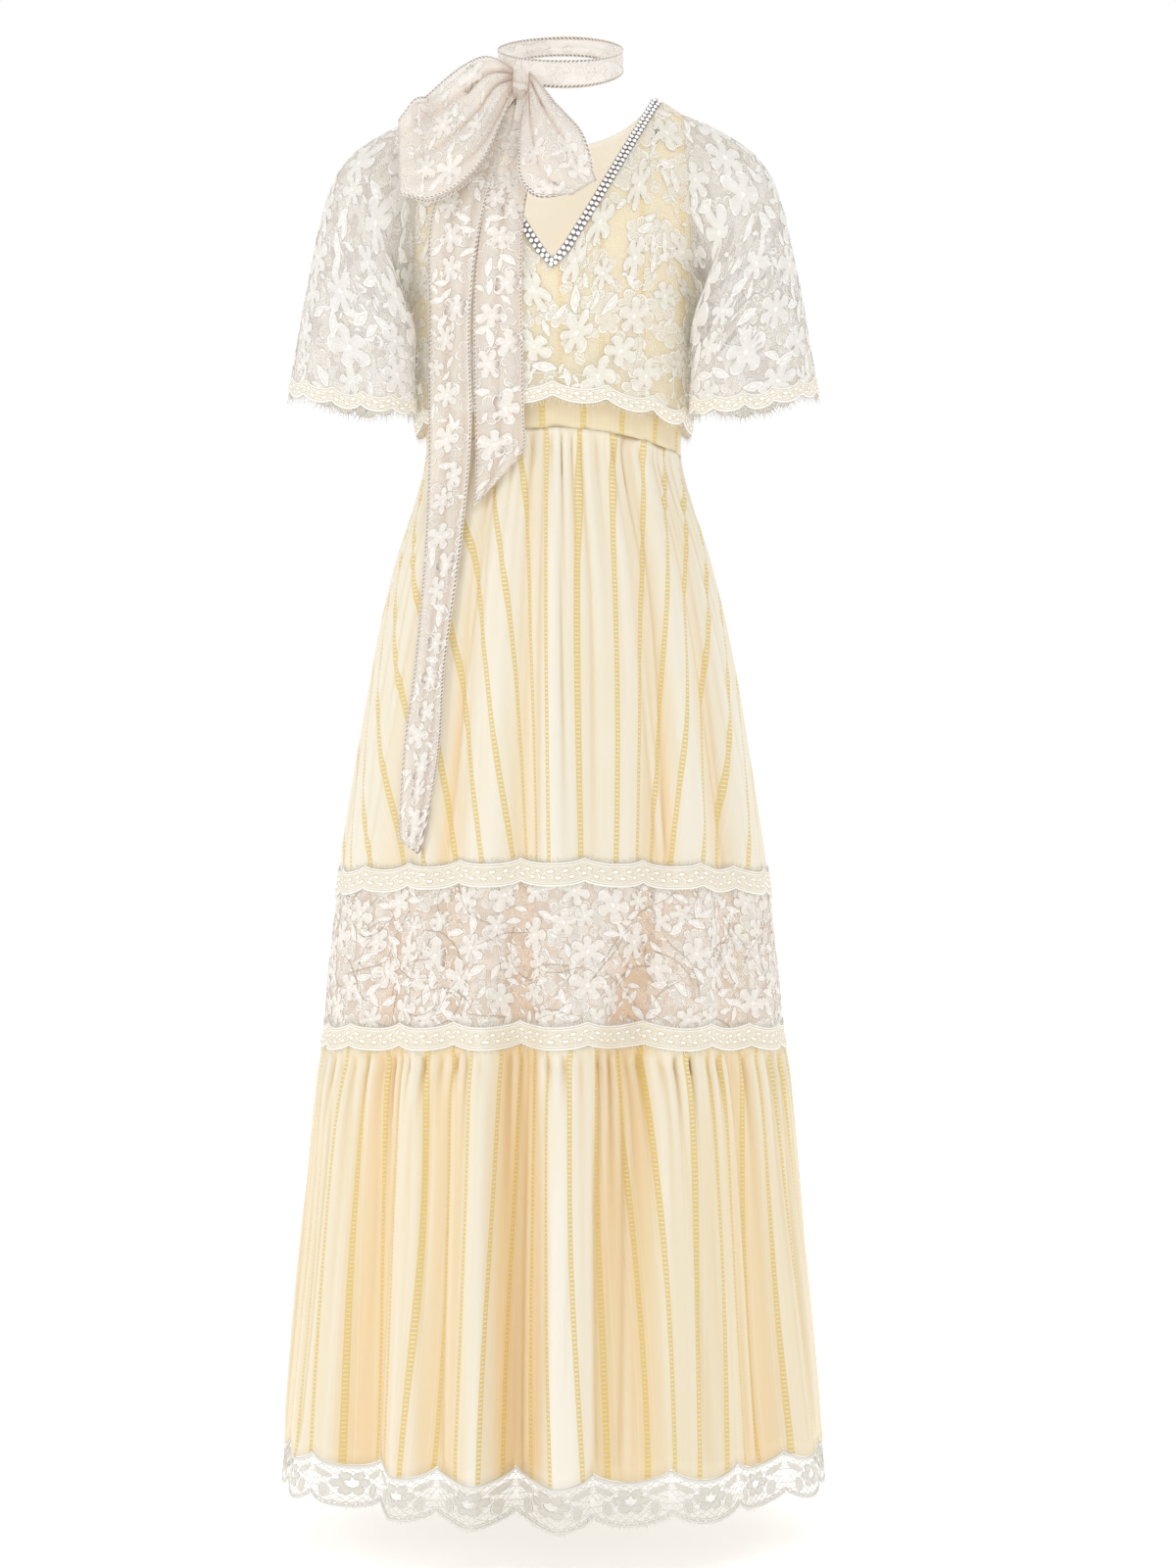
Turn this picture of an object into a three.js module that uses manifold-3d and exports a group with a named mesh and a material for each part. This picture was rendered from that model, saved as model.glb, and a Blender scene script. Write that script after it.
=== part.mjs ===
// A maxi dress of striped satin and floral lace, in its hollow worn form.
// Millimetres. The front faces -Y, +Z is up, and the origin lies midway between
// the two points where the neckline meets the shoulder seams.
import * as THREE from 'three';
import { mergeVertices } from 'three/addons/utils/BufferGeometryUtils.js';
import Module from 'manifold-3d';

const wasm = await Module();
wasm.setup();

// Cloth walls and the gaps between pieces
const SATIN_WALL = 2;
const LACE_WALL = 1.5;
const TRIM_WALL = 1.5;
const SEAM_GAP = 0.3;
const LAY_GAP = 0.4;
const TRIM_GAP = 0.9;
const HEM_GAP = 0.8;

// Grid sizes: spans across each piece
const SKIRT_SPANS = 44;
const TORSO_SPANS = 16;
const SLEEVE_SPANS = 30;
const SCALLOP_SPANS = 4;
const TIER_ROWS = [0, 0.045, 0.1, 0.2, 0.55, 1];
const LACE_ROWS = [0, 0.12, 0.88, 1];
const TORSO_ROWS = [0, 0.16, 0.32, 0.48, 0.62, 0.75, 0.86, 0.94, 1];
const HEM_ROWS = [0, 1];
const TAIL_SPANS = 4;
const LOOP_SPANS = 4;

// Neckline, shoulder and armhole
const NECK_HALF = 102;
const NECK_HEIGHT = 2;
const V_TIP = -179;
const V_BOW = 0.9;
const BACK_NECK = -31;
const SHOULDER_SLOPE = 0.6;
const INNER_SLOPE = 0.35;
const SHOULDER_TIP = 129;
const UNDERARM = -215;
const ROUNDING_START = -125;

// Garment rings: the inner face of the cloth, half width and depths in front and behind
const RINGS = [
  { height: 10, halfWidth: 160, front: 60, back: 82 },
  { height: -20, halfWidth: 159, front: 70, back: 90 },
  { height: -60, halfWidth: 157, front: 88, back: 98 },
  { height: -110, halfWidth: 153, front: 106, back: 104 },
  { height: -160, halfWidth: 148, front: 117, back: 105 },
  { height: -215, halfWidth: 141, front: 114, back: 102 },
  { height: -265, halfWidth: 135, front: 104, back: 96 },
  { height: -320, halfWidth: 130, front: 97, back: 91 },
  { height: -362, halfWidth: 128, front: 97, back: 91 },
  { height: -405, halfWidth: 138, front: 108, back: 102 },
  { height: -465, halfWidth: 157, front: 126, back: 120 },
  { height: -555, halfWidth: 178, front: 146, back: 140 },
  { height: -675, halfWidth: 199, front: 168, back: 162 },
  { height: -795, halfWidth: 217, front: 186, back: 181 },
  { height: -915, halfWidth: 230, front: 197, back: 193 },
  { height: -945, halfWidth: 231, front: 198, back: 195 },
  { height: -985, halfWidth: 239, front: 204, back: 201 },
  { height: -1095, halfWidth: 248, front: 215, back: 212 },
  { height: -1215, halfWidth: 259, front: 228, back: 225 },
  { height: -1335, halfWidth: 270, front: 240, back: 236 },
  { height: -1400, halfWidth: 275, front: 245, back: 241 },
];

// Seam and edge heights at the sides, the centre front and the centre back
const LEVELS = {
  overlayHem: { side: -331, front: -309, back: -318 },
  bandTop: { side: -318, front: -303, back: -312 },
  waist: { side: -362, front: -342, back: -356 },
  laceTop: { side: -794, front: -780, back: -790 },
  laceBottom: { side: -948, front: -936, back: -946 },
  hemJoin: { side: -1345, front: -1344, back: -1344 },
  hem: { side: -1385, front: -1386, back: -1385 },
};

// Large folds: angle, half width in degrees and how far out, at the waist,
// the top and the bottom of the lace band, and the hem
const FOLD_HEIGHTS = [-350, -787, -942, -1395];
const FOLDS = [
  { angle: [-66, -64, -63, -62], half: 13, out: [1, 5, 5, 9] },
  { angle: [-46, -45, -45, -44], half: 10, out: [-2, -7, -12, -27] },
  { angle: [-28, -28, -25, -23], half: 7, out: [-4, -9, -7, -11] },
  { angle: [-15, -15, -16, -15], half: 7, out: [1, 3, 6, 9] },
  { angle: [-8, -8, -8, -7], half: 8, out: [-2, -9, -24, -35] },
  { angle: [1, 1, 3, 2], half: 9, out: [2, 6, 9, 15] },
  { angle: [36, 28, 19, 15], half: 9, out: [-5, -13, -30, -6] },
  { angle: [48, 40, 33, 31], half: 13, out: [1, 4, 6, 8] },
  { angle: [56, 52, 51, 50], half: 9, out: [-3, -8, -7, -14] },
  { angle: [70, 67, 66, 66], half: 12, out: [1, 4, 4, 7] },
  { angle: [110, 112, 113, 114], half: 9, out: [-2, -6, -9, -17] },
  { angle: [128, 127, 126, 126], half: 11, out: [1, 3, 5, 8] },
  { angle: [140, 140, 141, 142], half: 9, out: [-3, -9, -14, -25] },
  { angle: [163, 161, 160, 159], half: 10, out: [-3, -7, -6, -12] },
  { angle: [174, 172, 171, 170], half: 9, out: [1, 4, 7, 11] },
  { angle: [184, 184, 185, 186], half: 9, out: [-3, -10, -21, -31] },
  { angle: [205, 207, 208, 208], half: 10, out: [-2, -7, -8, -12] },
  { angle: [226, 227, 228, 229], half: 10, out: [-3, -8, -13, -24] },
  { angle: [246, 247, 247, 248], half: 10, out: [1, 4, 5, 8] },
];

// Gathers below a seam: how deep, where they start, peak and fade out below it
const GATHERS = {
  waist: { deep: 2.4, start: 2, peak: 22, end: 120 },
  laceBottom: { deep: 4, start: 16, peak: 42, end: 130 },
};

// The right sleeve: its outer and inner outline and its depths, from armhole to hem
const SLEEVE_ROWS = [
  { along: 0, outerX: 129, outerZ: -13, innerX: 143, innerZ: -211, front: 50, back: 50 },
  { along: 0.12, outerX: 166, outerZ: -28, innerX: 150, innerZ: -217, front: 62, back: 56 },
  { along: 0.3, outerX: 203, outerZ: -56, innerX: 152, innerZ: -230, front: 73, back: 64 },
  { along: 0.5, outerX: 227, outerZ: -95, innerX: 153, innerZ: -248, front: 80, back: 70 },
  { along: 0.75, outerX: 247, outerZ: -180, innerX: 153, innerZ: -280, front: 88, back: 76 },
  { along: 1, outerX: 268, outerZ: -296, innerX: 150, innerZ: -316, front: 96, back: 82 },
];
const SLEEVE_WAVES = 7;
const SLEEVE_WAVE_OUT = 5;
const SLEEVE_FRONT_DROP = 14;
const SLEEVE_SCALLOP = 6;
const ARMHOLE_GAP = 0.9;
const UNDERARM_GAP = 5;

// Scalloped edges: how far a scallop hangs below its cusps
const OVERLAY_SCALLOP = 9;
const TRIM_SCALLOP = 6;
const HEM_SCALLOP = 13;
const TRIM_ABOVE = 9;
const TRIM_BELOW = 8;
const OVERLAY_STAND_OFF = 8;
const NECK_TRIM_WIDTH = 9;
const NECK_TRIM_WALL = 2;
const NECK_TRIM_SPANS = 14;

// Openings cut through the hem lace in each scallop: place along the scallop
// and down the lace, half width and half height
const LACE_GAPS = [
  { across: 0.5, down: 0.42, wide: 8, high: 6 },
  { across: 0, down: 0.6, wide: 5, high: 7 },
];
const GAP_SIDES = 6;

// The scarf: neck ring, knot, bow loops and tails
const NECK_RING = {
  centreX: 7, centreY: -16, radiusX: 62, radiusY: 60, middle: 40, rise: 28, from: -38, to: 322, spans: 40,
};
const NECK_BAND = { front: 27, back: 20, wall: 2 };
const KNOT = { x: -32, y: -74, z: 3, radiusX: 13, radiusY: 12, radiusZ: 15 };
const SCARF_WALL = 1.6;
const SCARF_OFF = 0.7;
const TAIL_FOLD = 5;
const TAIL_BEHIND = 5;
const TRIM_CLEARANCE = 5.5;
const LOOP_LEAD = 6;
const LEFT_LOOP = [
  { topX: -40, topZ: 18, bottomX: -40, bottomZ: -8, off: 3, puff: 4 },
  { topX: -66, topZ: 26, bottomX: -50, bottomZ: -38, off: 13, puff: 16 },
  { topX: -90, topZ: 17, bottomX: -68, bottomZ: -84, off: 14, puff: 26 },
  { topX: -113, topZ: 2, bottomX: -94, bottomZ: -110, off: 14, puff: 27 },
  { topX: -134, topZ: -13, bottomX: -121, bottomZ: -118, off: 13, puff: 20 },
  { topX: -149, topZ: -36, bottomX: -149, bottomZ: -110, off: 13, puff: 5 },
];
const RIGHT_LOOP = [
  { topX: -23, topZ: 14, bottomX: -25, bottomZ: -8, off: 3, puff: 4 },
  { topX: -3, topZ: -12, bottomX: -32, bottomZ: -40, off: 13, puff: 14 },
  { topX: 14, topZ: -34, bottomX: -33, bottomZ: -76, off: 14, puff: 22 },
  { topX: 29, topZ: -54, bottomX: -31, bottomZ: -106, off: 14, puff: 22 },
  { topX: 38, topZ: -80, bottomX: -14, bottomZ: -121, off: 13, puff: 16 },
  { topX: 40, topZ: -102, bottomX: 16, bottomZ: -118, off: 13, puff: 5 },
];
const LONG_TAIL = [
  { left: -42, right: -34, leftZ: 2, rightZ: 0 },
  { left: -80, right: -46, leftZ: -50, rightZ: -56 },
  { left: -118, right: -78, leftZ: -130, rightZ: -132 },
  { left: -123, right: -81, leftZ: -230, rightZ: -230 },
  { left: -124, right: -80, leftZ: -330, rightZ: -330 },
  { left: -125, right: -84, leftZ: -400, rightZ: -398 },
  { left: -128, right: -92, leftZ: -480, rightZ: -478 },
  { left: -136, right: -105, leftZ: -580, rightZ: -578 },
  { left: -146, right: -109, leftZ: -660, rightZ: -650 },
  { left: -150, right: -117, leftZ: -740, rightZ: -708 },
  { left: -146, right: -128, leftZ: -752, rightZ: -766 },
];
const SHORT_TAIL = [
  { left: -33, right: -27, leftZ: -2, rightZ: -2 },
  { left: -40, right: -28, leftZ: -56, rightZ: -56 },
  { left: -66, right: -29, leftZ: -132, rightZ: -132 },
  { left: -77, right: -30, leftZ: -200, rightZ: -200 },
  { left: -78, right: -29, leftZ: -270, rightZ: -270 },
  { left: -77, right: -28, leftZ: -335, rightZ: -335 },
  { left: -76, right: -29, leftZ: -378, rightZ: -366 },
  { left: -78, right: -58, leftZ: -421, rightZ: -400 },
];

const LOOKS = {
  satin: { color: 0xeee3c4, roughness: 0.45, metalness: 0 },
  lining: { color: 0xf0e2bd, roughness: 0.5, metalness: 0 },
  lace: { color: 0xebe1d8, roughness: 0.85, metalness: 0 },
  scarf: { color: 0xefe5da, roughness: 0.85, metalness: 0 },
  trim: { color: 0xf4ead6, roughness: 0.8, metalness: 0 },
  stones: { color: 0xc9c7c4, roughness: 0.2, metalness: 0.4 },
};

const dress = new THREE.Group();
const { clamp, degToRad, lerp, radToDeg, smoothstep } = THREE.MathUtils;

// Smooth value of a table column at a place, through its neighbouring rows
function tableValue(table, key, column, at) {
  const sign = Math.sign(table[1][key] - table[0][key]);
  let row = 0;
  while (row < table.length - 2 && sign * (at - table[row + 1][key]) > 0) {
    row += 1;
  }
  const slope = (index) => {
    const before = table[Math.max(index - 1, 0)];
    const after = table[Math.min(index + 1, table.length - 1)];
    return (after[column] - before[column]) / (after[key] - before[key]);
  };
  const start = table[row];
  const end = table[row + 1];
  const span = end[key] - start[key];
  const t = clamp((at - start[key]) / span, 0, 1);
  const blend = t * t * (3 - 2 * t);
  const bendIn = t * (1 - t) * (1 - t) * span * slope(row);
  const bendOut = t * t * (t - 1) * span * slope(row + 1);
  return lerp(start[column], end[column], blend) + bendIn + bendOut;
}

function ringAt(height) {
  return {
    halfWidth: tableValue(RINGS, 'height', 'halfWidth', height),
    front: tableValue(RINGS, 'height', 'front', height),
    back: tableValue(RINGS, 'height', 'back', height),
  };
}

function levelAt(name, angle) {
  const level = LEVELS[name];
  const facing = Math.cos(degToRad(angle));
  const middle = facing > 0 ? level.front : level.back;
  return lerp(level.side, middle, facing * facing);
}

function foldLevel(values, height) {
  const rows = FOLD_HEIGHTS.map((at, index) => ({ at, value: values[index] }));
  return tableValue(rows, 'at', 'value', height);
}

function foldOut(angle, height) {
  let out = 0;
  for (const fold of FOLDS) {
    const away = (angle - foldLevel(fold.angle, height)) / fold.half;
    if (Math.abs(away) < 1) {
      out += foldLevel(fold.out, height) * Math.cos(away * Math.PI / 2) ** 2;
    }
  }
  return out;
}

// Gathers are waves that repeat every scallop's number of spans
function gatherOut(name, angle, height) {
  const gather = GATHERS[name];
  const below = levelAt(name, angle) - height;
  const grow = smoothstep(below, gather.start, gather.peak);
  const fade = 1 - smoothstep(below, gather.peak, gather.end);
  const waves = SKIRT_SPANS / SCALLOP_SPANS;
  return -gather.deep * grow * fade * Math.cos(2 * waves * degToRad(angle + 90));
}

// Shoulder line height at a distance from the centre
function shoulderHeight(x) {
  const beyond = Math.abs(x) - NECK_HALF;
  return NECK_HEIGHT - beyond * (beyond > 0 ? SHOULDER_SLOPE : INNER_SLOPE);
}

// Point of the garment's inner face at an angle from the centre front
function bodyPoint(angle, height) {
  const ring = ringAt(height);
  const turn = degToRad(angle);
  const depth = Math.cos(turn) > 0 ? ring.front : ring.back;
  const point = new THREE.Vector3(ring.halfWidth * Math.sin(turn), -depth * Math.cos(turn), height);
  if (height > ROUNDING_START) {
    const top = shoulderHeight(point.x);
    const near = clamp((height - ROUNDING_START) / (top - ROUNDING_START), 0, 1);
    point.y *= Math.sqrt(1 - near * near);
  }
  return point;
}

function skirtPoint(angle, height) {
  const point = bodyPoint(angle, height);
  const ring = ringAt(height);
  const turn = degToRad(angle);
  const depth = Math.cos(turn) > 0 ? ring.front : ring.back;
  const outward = new THREE.Vector3(Math.sin(turn) / ring.halfWidth, -Math.cos(turn) / depth, 0);
  const edge = smoothstep(Math.abs(Math.cos(turn)), 0, 0.2);
  let out = foldOut(angle, height) * edge;
  out += (gatherOut('waist', angle, height) + gatherOut('laceBottom', angle, height)) * edge;
  return point.addScaledVector(outward.normalize(), out);
}

// Outward direction of a surface at an angle and height
function outwardOf(surface, angle, height, level) {
  const step = 0.5;
  const across = surface(angle + step, height).sub(surface(angle - step, height));
  const up = new THREE.Vector3(0, 0, 1);
  if (!level) {
    up.copy(surface(angle, height + step)).sub(surface(angle, height - step));
  }
  return across.cross(up).normalize();
}

// One closed wall from rows of points on its inner face, each with its outward direction
function wallGeometry(rows, wall, around = false) {
  const columns = rows[0].length;
  const positions = [];
  for (const layer of [wall, 0]) {
    for (const row of rows) {
      for (const { point, outward } of row) {
        positions.push(...point.clone().addScaledVector(outward, layer).toArray());
      }
    }
  }
  const index = [];
  const at = (layer, row, column) => (layer * rows.length + row) * columns + (column % columns);
  const quad = (a, b, c, d) => index.push(a, b, c, a, c, d);
  const spans = around ? columns : columns - 1;
  const last = rows.length - 1;
  for (let column = 0; column < spans; column += 1) {
    for (let row = 0; row < last; row += 1) {
      quad(at(0, row, column), at(0, row + 1, column), at(0, row + 1, column + 1), at(0, row, column + 1));
      quad(at(1, row, column), at(1, row, column + 1), at(1, row + 1, column + 1), at(1, row + 1, column));
    }
    quad(at(0, 0, column), at(0, 0, column + 1), at(1, 0, column + 1), at(1, 0, column));
    quad(at(0, last, column + 1), at(0, last, column), at(1, last, column), at(1, last, column + 1));
  }
  if (!around) {
    const end = columns - 1;
    for (let row = 0; row < last; row += 1) {
      quad(at(0, row + 1, 0), at(0, row, 0), at(1, row, 0), at(1, row + 1, 0));
      quad(at(0, row, end), at(0, row + 1, end), at(1, row + 1, end), at(1, row, end));
    }
  }
  return closedGeometry(positions, index);
}

// Turns every face outward
function closedGeometry(positions, index) {
  const corner = (which) => new THREE.Vector3().fromArray(positions, which * 3);
  let volume = 0;
  for (let face = 0; face < index.length; face += 3) {
    const [a, b, c] = index.slice(face, face + 3).map(corner);
    volume += a.dot(b.cross(c));
  }
  const faces = volume < 0 ? index.toReversed() : index;
  const geometry = new THREE.BufferGeometry();
  geometry.setAttribute('position', new THREE.Float32BufferAttribute(positions, 3));
  geometry.setIndex(faces);
  return geometry;
}

function toSolid(geometry) {
  const bare = geometry.clone();
  bare.deleteAttribute('normal');
  bare.deleteAttribute('uv');
  const merged = mergeVertices(bare);
  return new wasm.Manifold(new wasm.Mesh({
    numProp: 3,
    vertProperties: new Float32Array(merged.attributes.position.array),
    triVerts: new Uint32Array(merged.index.array),
  }));
}

function fromSolid(solid) {
  const mesh = solid.getMesh();
  return closedGeometry(Array.from(mesh.vertProperties), Array.from(mesh.triVerts));
}

function addPiece(name, geometry, look) {
  geometry.computeVertexNormals();
  const mesh = new THREE.Mesh(geometry, new THREE.MeshStandardMaterial(LOOKS[look]));
  mesh.name = name;
  dress.add(mesh);
}

function mirrored(rows) {
  const flip = (vector) => new THREE.Vector3(-vector.x, vector.y, vector.z);
  return rows.map((row) => row.map(({ point, outward }) => ({ point: flip(point), outward: flip(outward) })));
}

function movedOut(rows, distance) {
  return rows.map((row) => row.map(({ point, outward }) => (
    { point: point.clone().addScaledVector(outward, distance), outward })));
}

// Hang of a scalloped edge below its cusps, 0 to 1, at a span number
function scallop(span) {
  const along = (span / SCALLOP_SPANS) % 1;
  return Math.sin(Math.PI * along) ** 0.6;
}

// Rows of a skirt piece between two edges, given as heights for each span
function skirtRows(side, fractions, topEdge, bottomEdge) {
  const start = side === 'front' ? -90 : 90;
  const facing = side === 'front' ? -1 : 1;
  return fractions.map((fraction) => {
    const row = [];
    for (let span = 0; span <= SKIRT_SPANS; span += 1) {
      const angle = start + span * 180 / SKIRT_SPANS;
      const height = lerp(topEdge(angle, span), bottomEdge(angle, span), fraction);
      const point = skirtPoint(angle, height);
      const outward = outwardOf(skirtPoint, angle, height, true);
      if (span === 0 || span === SKIRT_SPANS) {
        point.y = facing * SEAM_GAP / 2;
        outward.set(Math.sign(point.x), 0, 0);
      }
      row.push({ point, outward });
    }
    return row;
  });
}

// A point of a panel's column at a height, between the panel's own rows
function onPanel(rows, column, height) {
  let row = 0;
  while (row < rows.length - 2 && rows[row + 1][column].point.z > height) {
    row += 1;
  }
  const above = rows[row][column];
  const below = rows[row + 1][column];
  const t = (height - above.point.z) / (below.point.z - above.point.z);
  return {
    point: above.point.clone().lerp(below.point, t),
    outward: above.outward.clone().lerp(below.outward, clamp(t, 0, 1)).normalize(),
  };
}

// A scalloped strip that lies over the seam between two panels
function addTrim(name, upper, lower) {
  const lift = SATIN_WALL + TRIM_GAP;
  const seam = upper[upper.length - 1];
  const columns = seam.map((_, column) => column);
  const top = columns.map((column) => (
    onPanel(upper, column, seam[column].point.z + TRIM_ABOVE + TRIM_SCALLOP * (1 - scallop(column)))));
  const middle = columns.map((column) => onPanel(lower, column, lower[0][column].point.z));
  const bottom = columns.map((column) => (
    onPanel(lower, column, lower[0][column].point.z - TRIM_BELOW - TRIM_SCALLOP * scallop(column))));
  addPiece(name, wallGeometry(movedOut([top, middle, bottom], lift), TRIM_WALL), 'trim');
}

// Six-sided openings through the lace, one set in each scallop
function cutLaceGaps(rows) {
  let solid = toSolid(wallGeometry(rows, LACE_WALL));
  const reach = 8;
  for (let first = 0; first < SKIRT_SPANS; first += SCALLOP_SPANS) {
    for (const gap of LACE_GAPS) {
      const column = first + gap.across * SCALLOP_SPANS;
      if (column > 0) {
        const top = rows[0][column].point;
        const bottom = rows[rows.length - 1][column].point;
        const centre = top.clone().lerp(bottom, gap.down);
        const { outward } = rows[0][column];
        const outline = new THREE.Shape();
        for (let corner = 0; corner < GAP_SIDES; corner += 1) {
          const turn = (corner + 0.5) * 2 * Math.PI / GAP_SIDES;
          const place = [gap.wide * Math.cos(turn), gap.high * Math.sin(turn)];
          if (corner === 0) {
            outline.moveTo(...place);
          } else {
            outline.lineTo(...place);
          }
        }
        const cutter = new THREE.ExtrudeGeometry(outline, { depth: 2 * reach, bevelEnabled: false });
        cutter.translate(0, 0, -reach);
        const across = new THREE.Vector3(0, 0, 1).cross(outward).normalize();
        const turned = new THREE.Matrix4().makeBasis(across, new THREE.Vector3(0, 0, 1), outward);
        cutter.applyMatrix4(turned.setPosition(centre));
        solid = solid.subtract(toSolid(cutter));
      }
    }
  }
  return fromSolid(solid);
}

function addSkirt() {
  const level = (name, shift = 0) => (angle) => levelAt(name, angle) + shift;
  const scalloped = (name, deep, shift = 0) => (angle, span) => (
    levelAt(name, angle) + shift - deep * scallop(span));
  for (const side of ['front', 'back']) {
    const upper = skirtRows(side, TIER_ROWS, level('waist', -SEAM_GAP), level('laceTop'));
    const lace = skirtRows(side, LACE_ROWS, level('laceTop', -SEAM_GAP), level('laceBottom'));
    const lower = skirtRows(side, TIER_ROWS, level('laceBottom', -SEAM_GAP), scalloped('hemJoin', HEM_SCALLOP));
    const hemTop = scalloped('hemJoin', HEM_SCALLOP, -HEM_GAP);
    const hem = skirtRows(side, HEM_ROWS, hemTop, scalloped('hem', HEM_SCALLOP));
    addPiece(`upper_skirt_${side}`, wallGeometry(upper, SATIN_WALL), 'satin');
    addPiece(`lace_band_${side}`, wallGeometry(lace, LACE_WALL), 'lace');
    addPiece(`lower_skirt_${side}`, wallGeometry(lower, SATIN_WALL), 'satin');
    addPiece(`hem_lace_${side}`, cutLaceGaps(hem), 'lace');
    addTrim(`upper_trim_${side}`, upper, lace);
    addTrim(`lower_trim_${side}`, lace, lower);
    addPiece(`waistband_${side}`, wallGeometry(waistbandRows(side), SATIN_WALL), 'satin');
  }
}

function waistbandRows(side) {
  const start = side === 'front' ? -90 : 90;
  const facing = side === 'front' ? -1 : 1;
  return [0, 1].map((fraction) => {
    const row = [];
    for (let span = 0; span <= SKIRT_SPANS; span += 2) {
      const angle = start + span * 180 / SKIRT_SPANS;
      const height = lerp(levelAt('bandTop', angle) - SEAM_GAP, levelAt('waist', angle), fraction);
      const point = bodyPoint(angle, height);
      const outward = outwardOf(bodyPoint, angle, height, true);
      if (span === 0 || span === SKIRT_SPANS) {
        point.y = facing * SEAM_GAP / 2;
        outward.set(Math.sign(point.x), 0, 0);
      }
      row.push({ point, outward });
    }
    return row;
  });
}

function armholeOut(height) {
  const up = clamp((height - UNDERARM) / (shoulderHeight(SHOULDER_TIP) - UNDERARM), 0, 1);
  return lerp(ringAt(UNDERARM).halfWidth, SHOULDER_TIP, up);
}

// Angle of the side seam or the armhole edge at a height
function edgeAngle(height) {
  if (height <= UNDERARM) {
    return 90;
  }
  return radToDeg(Math.asin(Math.min(armholeOut(height) / ringAt(height).halfWidth, 1)));
}

function necklineHeight(side, x) {
  const share = Math.abs(x) / NECK_HALF;
  if (share >= 1) {
    return shoulderHeight(x);
  }
  if (side === 'front') {
    return lerp(V_TIP, NECK_HEIGHT, share ** (1 / V_BOW));
  }
  return lerp(BACK_NECK, NECK_HEIGHT, share ** 2.6);
}

// Height at which a torso column meets the neckline or the shoulder seam
function columnTop(side, share) {
  let low = V_TIP - 1;
  let high = NECK_HEIGHT + 1;
  for (let step = 0; step < 40; step += 1) {
    const middle = (low + high) / 2;
    const x = ringAt(middle).halfWidth * Math.sin(degToRad(share * edgeAngle(middle)));
    if (necklineHeight(side, x) > middle) {
      low = middle;
    } else {
      high = middle;
    }
  }
  return low;
}

// A torso point and its outward direction at a share of the panel's half width
function torsoPlace(side, share, height, atTop) {
  const facing = side === 'front' ? -1 : 1;
  const turned = share * edgeAngle(height);
  const angle = side === 'front' ? turned : 180 - turned;
  const point = bodyPoint(angle, height);
  const outward = outwardOf(bodyPoint, angle, Math.min(height, shoulderHeight(point.x) - 2), false);
  const end = Math.abs(share) === 1;
  if (height < UNDERARM) {
    outward.z = 0;
  }
  if (atTop && Math.abs(point.x) >= NECK_HALF - 1) {
    point.y = facing * SEAM_GAP / 2;
    outward.set(0, 0, 1);
  }
  if (end && height <= UNDERARM) {
    point.y = facing * SEAM_GAP / 2;
    outward.set(Math.sign(share), 0, 0);
  } else if (end) {
    outward.x = 0;
  }
  return { point, outward: outward.normalize() };
}

// Rows of a front or back torso panel from its lower edge up to neckline and shoulder
function torsoRows(side) {
  return TORSO_ROWS.map((fraction) => {
    const row = [];
    for (let span = 0; span <= TORSO_SPANS; span += 1) {
      const share = 2 * span / TORSO_SPANS - 1;
      const bottom = levelAt('bandTop', side === 'front' ? 90 * share : 180 - 90 * share);
      const height = lerp(bottom, columnTop(side, share), fraction);
      row.push(torsoPlace(side, share, height, fraction === 1));
    }
    return row;
  });
}

// The lace layer: the lining's own points moved out, and a scalloped hem below them
function overlayRows(side, lining) {
  const hem = [];
  for (let span = 0; span <= TORSO_SPANS; span += 1) {
    const share = 2 * span / TORSO_SPANS - 1;
    const level = levelAt('overlayHem', side === 'front' ? 90 * share : 180 - 90 * share);
    const height = level - OVERLAY_SCALLOP * (span % 2);
    hem.push(torsoPlace(side, share, height, false));
  }
  return [hem, ...lining].map((row) => row.map(({ point, outward }) => (
    { point: point.clone().addScaledVector(outward, overlayOut(point.z)), outward })));
}

// How far the lace layer's inner face stands off the lining's inner face
function overlayOut(height) {
  const hang = 1 - smoothstep(height, LEVELS.overlayHem.side, UNDERARM);
  return SATIN_WALL + LAY_GAP + OVERLAY_STAND_OFF * hang;
}

function addTorso() {
  for (const side of ['front', 'back']) {
    const lining = torsoRows(side);
    addPiece(`bodice_${side}`, wallGeometry(lining, SATIN_WALL), 'lining');
    addPiece(`overlay_${side}`, wallGeometry(overlayRows(side, lining), LACE_WALL), 'lace');
  }
}

// Point of the right armhole edge at a turn from the shoulder tip round the front
function armholePoint(turn) {
  const row = SLEEVE_ROWS[0];
  const height = lerp(row.innerZ, row.outerZ, (1 + Math.cos(turn)) / 2);
  const sideways = Math.sin(turn);
  const angle = sideways > 0 ? edgeAngle(height) : 180 - edgeAngle(height);
  const point = bodyPoint(angle, Math.max(height, UNDERARM));
  point.x = armholeOut(height) + lerp(ARMHOLE_GAP, UNDERARM_GAP, ((1 - Math.cos(turn)) / 2) ** 4);
  point.z = height;
  return point;
}

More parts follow.
